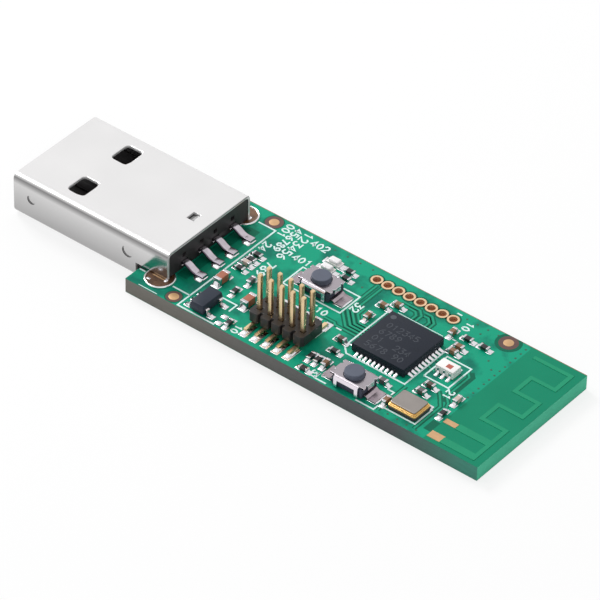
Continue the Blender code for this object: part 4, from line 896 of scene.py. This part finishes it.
# Balun
# A fired white ceramic block with three tinned terminals down each long side and a brown-red
# square printed on top to show which way round it goes.
BALUN_STEPS = (-0.65, 0.0, 0.65)
china = worn_finish("white_ceramic", (255, 252, 249), 0.42, mottle=0.05, lumps=1300)
red_mark = worn_finish("red_mark", (186, 92, 76), 0.5, mottle=0.2, lumps=2500)
low, high, (balun_x, y, _) = box_of("balun")
balun_bodies = [fill(low + (0, 0.03, 0), high - (0, 0.03, 0), 0.06),
                (soft_box((balun_x + 0.2, y - 0.06, high[2]), (0.6, 0.56, 0.02),
                          (0.05, 0.05, 0.01)), 1)]
for step in BALUN_STEPS:
    for row in (low[1] + 0.06, high[1] - 0.06):
        balun_bodies.append((fill((balun_x + step - 0.15, row - 0.06, low[2]),
                                  (balun_x + step + 0.15, row + 0.06, high[2] - 0.2), 0.03), 2))
make_piece("balun_block", balun_bodies, [china, red_mark, bright_tin], "balun")

# Voltage regulator
# A small black moulding with drafted sides on five tinned leads, bent down and out to their
# pads: three towards the plug, two away from it.
LEAD_SHEET = 0.15
LEADS = ((-1, -0.95), (-1, 0.0), (-1, 0.95), (1, -0.95), (1, 0.95))
low, high, (body_x, body_y, _) = box_of("regulator")
moulding = ((low[2] + 0.1, 0.09), (low[2] + 0.6, 0.0), (high[2] - 0.06, 0.07),
            (high[2] - 0.02, 0.09), (high[2], 0.13))
regulator_bodies = [stacked((body_x, body_y), (0.8, 1.45), moulding, 0.08)]
for outward, row in LEADS:
    corners = [(body_x + outward * along, body_y + row, low[2] + up)
               for along, up in ((0.5, 0.6), (1.0, 0.6), (1.0, 0.075), (1.4, 0.075))]
    lead = soft_ring(LEAD_SHEET / 2, 0.2, 0.03)
    regulator_bodies.append((sweep(bent_line(corners, 0.12), (0.0, 1.0, 0.0), lead), 1))
blue_black = worn_finish("blue_black_epoxy", (44, 51, 64), 0.5, mottle=0.2, lumps=1400,
                         grain=6000, relief=0.000004, Specular_IOR_Level=0.25)
make_piece("regulator_package", regulator_bodies, [blue_black, bright_tin],
           "regulator")

# Lamps
# Clear resin blocks moulded on small white carriers, with a tinned terminal at each end that
# is soldered to its pad.
resin = worn_finish("clear_resin", (255, 250, 252), 0.14, mottle=0.08,
                    Transmission_Weight=0.06, IOR=1.5, Coat_Weight=1.0)
carrier = worn_finish("lamp_carrier", (250, 244, 242), 0.45)
for number in (1, 2):
    low, high, _ = box_of(f"led_{number}")
    carrier_top = low[2] + 0.25
    bodies = [(fill(low, (high[0], high[1], carrier_top), 0.03), 1),
              fill((low[0] + 0.22, low[1] + 0.04, carrier_top - 0.05),
                   (high[0] - 0.22, high[1] - 0.04, high[2]), 0.16)]
    for x in (low[0], high[0]):
        bodies.append((fill((x - 0.02, low[1] + 0.02, low[2]),
                            (x + 0.02, high[1] - 0.02, carrier_top + 0.01), 0.02), 2))
    make_piece(f"led_{number}_lamp", bodies, [resin, carrier, bright_tin],
               f"led_{number}")

# Two-ended chip parts
# Capacitors are fired ceramic bricks, resistors are bricks drawn all in the black glaze that real
# ones carry on top of a white ceramic slab, and both have dipped and tinned ends. The bead is a
# grey brick and the coil a pale one.
brown = worn_finish("capacitor_brown", (136, 100, 72), 0.45, mottle=0.18, lumps=2000)
red_brown = worn_finish("capacitor_red_brown", (172, 100, 74), 0.42, mottle=0.12, lumps=1800)
grey_brick = worn_finish("ferrite_grey", (92, 90, 92), 0.5, mottle=0.15, lumps=2000)
pale_brick = worn_finish("pale_ceramic", (206, 186, 176), 0.42, lumps=2000)
dark_brick = worn_finish("capacitor_dark", (84, 66, 58), 0.45, mottle=0.2, lumps=2000)
glaze = worn_finish("black_glaze", (30, 28, 32), 0.3, mottle=0.2, lumps=2000)
PART_ENDS = 0.24
LARGE_ENDS = 0.34
RESISTOR_ENDS = 0.2
CHIP_PARTS = (
    (pale_brick, "plug_capacitor"), (red_brown, "input_capacitor output_capacitor"),
    (grey_brick, "supply_bead"), (brown, "chip_capacitor_1 chip_capacitor_2 chip_capacitor_3"),
    (dark_brick, "chip_capacitor_4"), (brown, "chip_capacitor_5"),
    (grey_brick, "chip_capacitor_6"),
    (brown, "chip_capacitor_7 chip_capacitor_8 chip_capacitor_9 crystal_capacitor"),
    (dark_brick, "match_capacitor_1"), (pale_brick, "match_coil"),
    (grey_brick, "match_capacitor_2"),
    (glaze, "antenna_link reset_resistor reset_pull_up button_resistor bias_resistor"),
)
# Middle and long axis (0 along the board, 1 across it) of the resistors that are one with it
BOARD_RESISTORS = ((23.0, 2.15, 0), (23.0, 1.25, 0), (23.0, -0.4, 0), (24.75, -3.3, 1),
                   (27.25, -7.2, 1), (31.1, 5.75, 0), (31.4, 4.75, 0), (45.35, 5.1, 0),
                   (47.2, 5.1, 0))
RESISTOR_HALF = (0.5, 0.25)
RESISTOR_LEVELS = (0.065, 0.415)


def chip_part_bodies(low, high, long_axis, end, grow):
    """A brick between two dipped ends, which stand 0.02 mm proud of it."""
    along = np.arange(3) == long_axis
    inset = np.where(along, end / 2, 0.02)
    return [fill(low + inset, high - inset, 0.03, grow),
            (fill(low, np.where(along, low + end, high), 0.05, grow), 1),
            (fill(np.where(along, high - end, low), high, 0.05, grow), 1)]


soldered = []
for finish, names in CHIP_PARTS:
    end = {glaze: RESISTOR_ENDS, red_brown: LARGE_ENDS}.get(finish, PART_ENDS)
    for part in names.split():
        low, high, _ = box_of(part)
        long_axis = int(high[1] - low[1] > high[0] - low[0])
        make_piece(part + "_brick", chip_part_bodies(low, high, long_axis, end, 0.0),
                   [finish, bright_tin], part)
        soldered.append((low, high, long_axis))

for number, (x, y, long_axis) in enumerate(BOARD_RESISTORS, 1):
    half = (RESISTOR_HALF[long_axis], RESISTOR_HALF[1 - long_axis])
    low = np.array([x - half[0], y - half[1], RESISTOR_LEVELS[0]])
    high = np.array([x + half[0], y + half[1], RESISTOR_LEVELS[1]])
    make_piece(f"board_resistor_{number}",
               chip_part_bodies(low, high, long_axis, RESISTOR_ENDS, 0.012),
               [glaze, bright_tin])
    soldered.append((low, high, long_axis))

# Solder and pads
# Tinned pads under every foot, and bright fillets that climb from the pad to the metal: one at
# each end of a two-ended part, one before each chip contact, lead and terminal.
PAD_HEIGHT = 0.045
EMPTY_PADS = ((26.26, -6.6), (26.4, -7.65))
LEAD_REACH = 1.38


def fillet(x, y, ahead, width, length, height, up=0.03, steps=7, around=11):
    """Solder that falls from height at (x, y) to nothing at length ahead: height * (1-v)^1.7.

    Across, it is half an ellipse flattened by a power of 0.6, and it narrows a little outward.
    """
    v = np.linspace(0, 1, steps)[:, None]
    angle = np.linspace(0, np.pi, around)[None]
    across = width / 2 * np.cos(angle) * (1 - 0.25 * v ** 2)
    rise = (height * (1 - v) ** 1.7 + 0.025) * np.sin(angle) ** 0.6
    left = np.array([-ahead[1], ahead[0], 0.0])
    rings = (np.array([x, y, up]) + (v * length)[..., None] * np.array([*ahead, 0.0])
             + across[..., None] * left + rise[..., None] * np.array([0.0, 0.0, 1.0]))
    return rings_to_body(rings)


def pad(x, y, length, width):
    """A tinned pad: a flat soft box on the board."""
    return soft_box((x, y, PAD_HEIGHT / 2 - 0.01), (length, width, PAD_HEIGHT + 0.02),
                    (0.05, 0.05, 0.02), 2)


solder = worn_finish("solder", (226, 224, 228), 0.17, 1.0, mottle=0.15, lumps=2600, grain=4200,
                     relief=0.000008)
part_solder = []
for low, high, long_axis in soldered:
    along = np.arange(2) == long_axis
    middle = ((low + high) / 2)[:2]
    wide = (high - low)[1 - long_axis]
    for outward in (-1, 1):
        end = low[long_axis] if outward < 0 else high[long_axis]
        place = np.where(along, end + outward * 0.08, middle)
        root = np.where(along, end - outward * 0.03, middle)
        part_solder += [pad(*place, *np.where(along, 0.62, wide + 0.12)),
                        fillet(*root, outward * along, wide * 0.96, 0.36,
                               (high[2] - low[2]) * 0.62, PAD_HEIGHT - 0.01)]
make_piece("chip_part_solder", part_solder, [solder])

chip_solder = []
low, high, _ = box_of("radio_chip")
for x, y in chip_middle[:2] + chip_steps[:, None]:
    for place in ((x, low[1], (0, -1)), (x, high[1], (0, 1)), (low[0], y, (-1, 0)),
                  (high[0], y, (1, 0))):
        chip_solder.append(fillet(*place, 0.34, 0.52, 0.21, 0.02, 6, 9))
make_piece("radio_chip_solder", chip_solder, [solder])

foot_solder = []
for number in range(1, 5):
    low, high, (_, y, _) = box_of(f"usb_contact_{number}")
    foot_solder += [pad(high[0] - 0.5, y - 0.05, 1.1, 0.95),
                    fillet(high[0] - 0.04, y, (1, 0), 0.7, 0.12, 0.1, 0.02),
                    fillet(high[0] - 0.4, low[1] + 0.08, (0, -1), 0.95, 0.42, 0.26, 0.02)]
for number in range(1, 11):
    low, high, (x, _, _) = box_of(f"header_pin_{number:02d}")
    outward = -1 if number <= 5 else 1
    foot = low[1] if outward < 0 else high[1]
    length = 1.95 if outward < 0 else 1.3
    foot_solder += [pad(x + 0.04, foot - outward * (length / 2 - 0.6), 0.82, length),
                    fillet(x, foot - outward * 0.1, (0, outward), 0.6, 0.5, 0.3)]
    foot_solder += [fillet(x + beside * 0.17, foot - outward * 0.45, (beside, 0), 0.8, 0.17, 0.2)
                    for beside in (-1, 1)]
for number in (1, 2):
    for side, outward in (("left", -1), ("right", 1)):
        low, high, (_, y, _) = box_of(f"button_{number}_terminal_{side}")
        tip = high[0] if outward > 0 else low[0]
        foot_solder += [pad(tip - outward * 0.5, y, 1.1, 1.8),
                        fillet(tip - outward * 0.03, y, (outward, 0), 1.5, 0.16, 0.1)]
for outward, row in LEADS:
    tip = body_x + outward * LEAD_REACH
    foot_solder += [pad(tip - outward * 0.05, body_y + row, 0.8, 0.6),
                    fillet(tip, body_y + row, (outward, 0), 0.46, 0.34, 0.2)]
low, high, _ = box_of("balun")
for step in BALUN_STEPS:
    for row, outward in ((low[1], -1), (high[1], 1)):
        foot_solder += [pad(balun_x + step, row + outward * 0.18, 0.36, 0.62),
                        fillet(balun_x + step, row, (0, outward), 0.32, 0.42, 0.28)]
for number in (1, 2):
    low, high, (_, y, _) = box_of(f"led_{number}")
    for x, outward in ((low[0], -1), (high[0], 1)):
        foot_solder += [pad(x, y, 0.9, 0.85), fillet(x, y, (outward, 0), 0.7, 0.4, 0.2)]
for x, y in EMPTY_PADS:
    foot_solder += [pad(x, y, 0.7, 0.55),
                    soft_box((x, y, 0.06), (0.62, 0.46, 0.2), (0.2, 0.18, 0.1))]
low, high, _ = box_of("crystal_case")
for x in (low[0] + 0.45, high[0] - 0.45):
    foot_solder += [pad(x, high[1], 1.0, 0.7), fillet(x, high[1], (0, 1), 0.8, 0.22, 0.12)]
for x, y in LEG_HOLES:
    wall = y + math.copysign(0.02, y)
    foot_solder += [soft_box((x + 0.72, y, 0.0), (0.34, 0.5, 0.26), (0.12, 0.2, 0.12)),
                    soft_box((x - 0.75, y - 0.75, -0.02), (0.5, 0.34, 0.2), 0.1),
                    # The gilt strip along the wall's foot in each leg hole is a painted highlight
                    (soft_box((x, wall, 0.03), (1.7, 0.14, 0.1), 0.045), 1)]
make_piece("foot_solder", foot_solder, [solder, pad_finish])

# Studio
# A white floor under a soft sky and three lamps. The camera stands where the photograph's did:
# a long lens, turned and tilted to match the edges of the board and the plug.
FLOOR_DROP = 0.03 * MM
FLOOR_SIZE = 3.0
FLOOR_WHITE = 1.03
FLOOR_SHARE = 0.76
SKY_GLOW = (-0.5, 0.6, 0.62)
SKY_SHADES = ((0.1, (0.33, 0.33, 0.335, 1.0)), (0.45, (0.44, 0.44, 0.445, 1.0)),
              (0.78, grey(0.94)))
# The low and the high height share in the sky, and its brightness at each
HORIZON = (0.0, 0.3, 0.22, 1.03)
CAMERA_AIM = Vector((0.0024, -0.0011, 0.0025))
CAMERA_DISTANCE = 0.43
CAMERA_AZIMUTH = 37.96
CAMERA_ELEVATION = 39.42
CAMERA_ROLL = 1.478
CAMERA_LENS = 281.8


def seen_white(tree):
    """1 where the camera looks, straight or by way of metal or glass, and 0 where light falls."""
    ray = node(tree, "ShaderNodeLightPath").outputs
    straight = worked(tree, "MAXIMUM", ray["Is Camera Ray"], ray["Is Glossy Ray"])
    return worked(tree, "MAXIMUM", straight, ray["Is Transmission Ray"])


bpy.ops.mesh.primitive_plane_add(size=FLOOR_SIZE, location=(0.0, 0.0, -FLOOR_DROP))
floor = bpy.context.object
floor.name = "floor"
floor_paint = bpy.data.materials.new("white_floor")
floor_paint.use_nodes = True
tree = floor_paint.node_tree
shader = tree.nodes["Principled BSDF"]
shader.inputs["Base Color"].default_value = grey(0.86)
shader.inputs["Roughness"].default_value = 0.9
white = node(tree, "ShaderNodeEmission", {"Color": grey(1.0), "Strength": FLOOR_WHITE})
mixed = node(tree, "ShaderNodeMixShader",
             {0: worked(tree, "MULTIPLY", seen_white(tree), FLOOR_SHARE),
              1: shader.outputs[0], 2: white.outputs[0]})
tree.links.new(mixed.outputs[0], tree.nodes["Material Output"].inputs["Surface"])
floor.data.materials.append(floor_paint)

world = bpy.data.worlds.new("studio")
world.use_nodes = True
bpy.context.scene.world = world
tree = world.node_tree
direction = node(tree, "ShaderNodeTexCoord").outputs["Generated"]
facing = node(tree, "ShaderNodeVectorMath", {0: direction, 1: SKY_GLOW}, operation="DOT_PRODUCT")
glow = graded(tree, facing.outputs["Value"], SKY_SHADES)
dusk = carried(tree, parts_of(tree, direction)[2], *HORIZON)
lit = blend_colour(tree, 1.0, glow, dusk, "MULTIPLY")
tree.links.new(blend_colour(tree, seen_white(tree), lit, grey(1.0)),
               tree.nodes["Background"].inputs["Color"])


def add_softbox(name, place, size, watts, mirrored=True):
    """A square soft light that faces the object; metal mirrors it only if mirrored is true."""
    lamp = bpy.data.lights.new(name, "AREA")
    lamp.size = size
    lamp.energy = watts
    box = new_object(name, lamp)
    box.location = place
    box.rotation_euler = (CAMERA_AIM - Vector(place)).to_track_quat("-Z", "Y").to_euler()
    box.visible_glossy = mirrored


add_softbox("key_light", (-0.37, 0.1, 0.33), 0.14, 1.15)
add_softbox("top_light", (-0.24, -0.1, 0.43), 0.12, 0.25)
add_softbox("fill_light", (0.4, -0.5, 0.3), 0.3, 0.6, mirrored=False)

camera = new_object("camera", bpy.data.cameras.new("camera"))
camera.data.lens = CAMERA_LENS
camera.data.clip_start = 0.01
turn = Matrix.Rotation(math.radians(CAMERA_AZIMUTH), 4, "Z")
tilt = Matrix.Rotation(math.radians(90 - CAMERA_ELEVATION), 4, "X")
roll = Matrix.Rotation(math.radians(CAMERA_ROLL), 4, "Z")
heading = turn @ tilt @ roll
camera.matrix_world = (Matrix.Translation(CAMERA_AIM) @ heading
                       @ Matrix.Translation((0.0, 0.0, CAMERA_DISTANCE)))
bpy.context.scene.camera = camera
bpy.context.scene.view_settings.view_transform = "Standard"
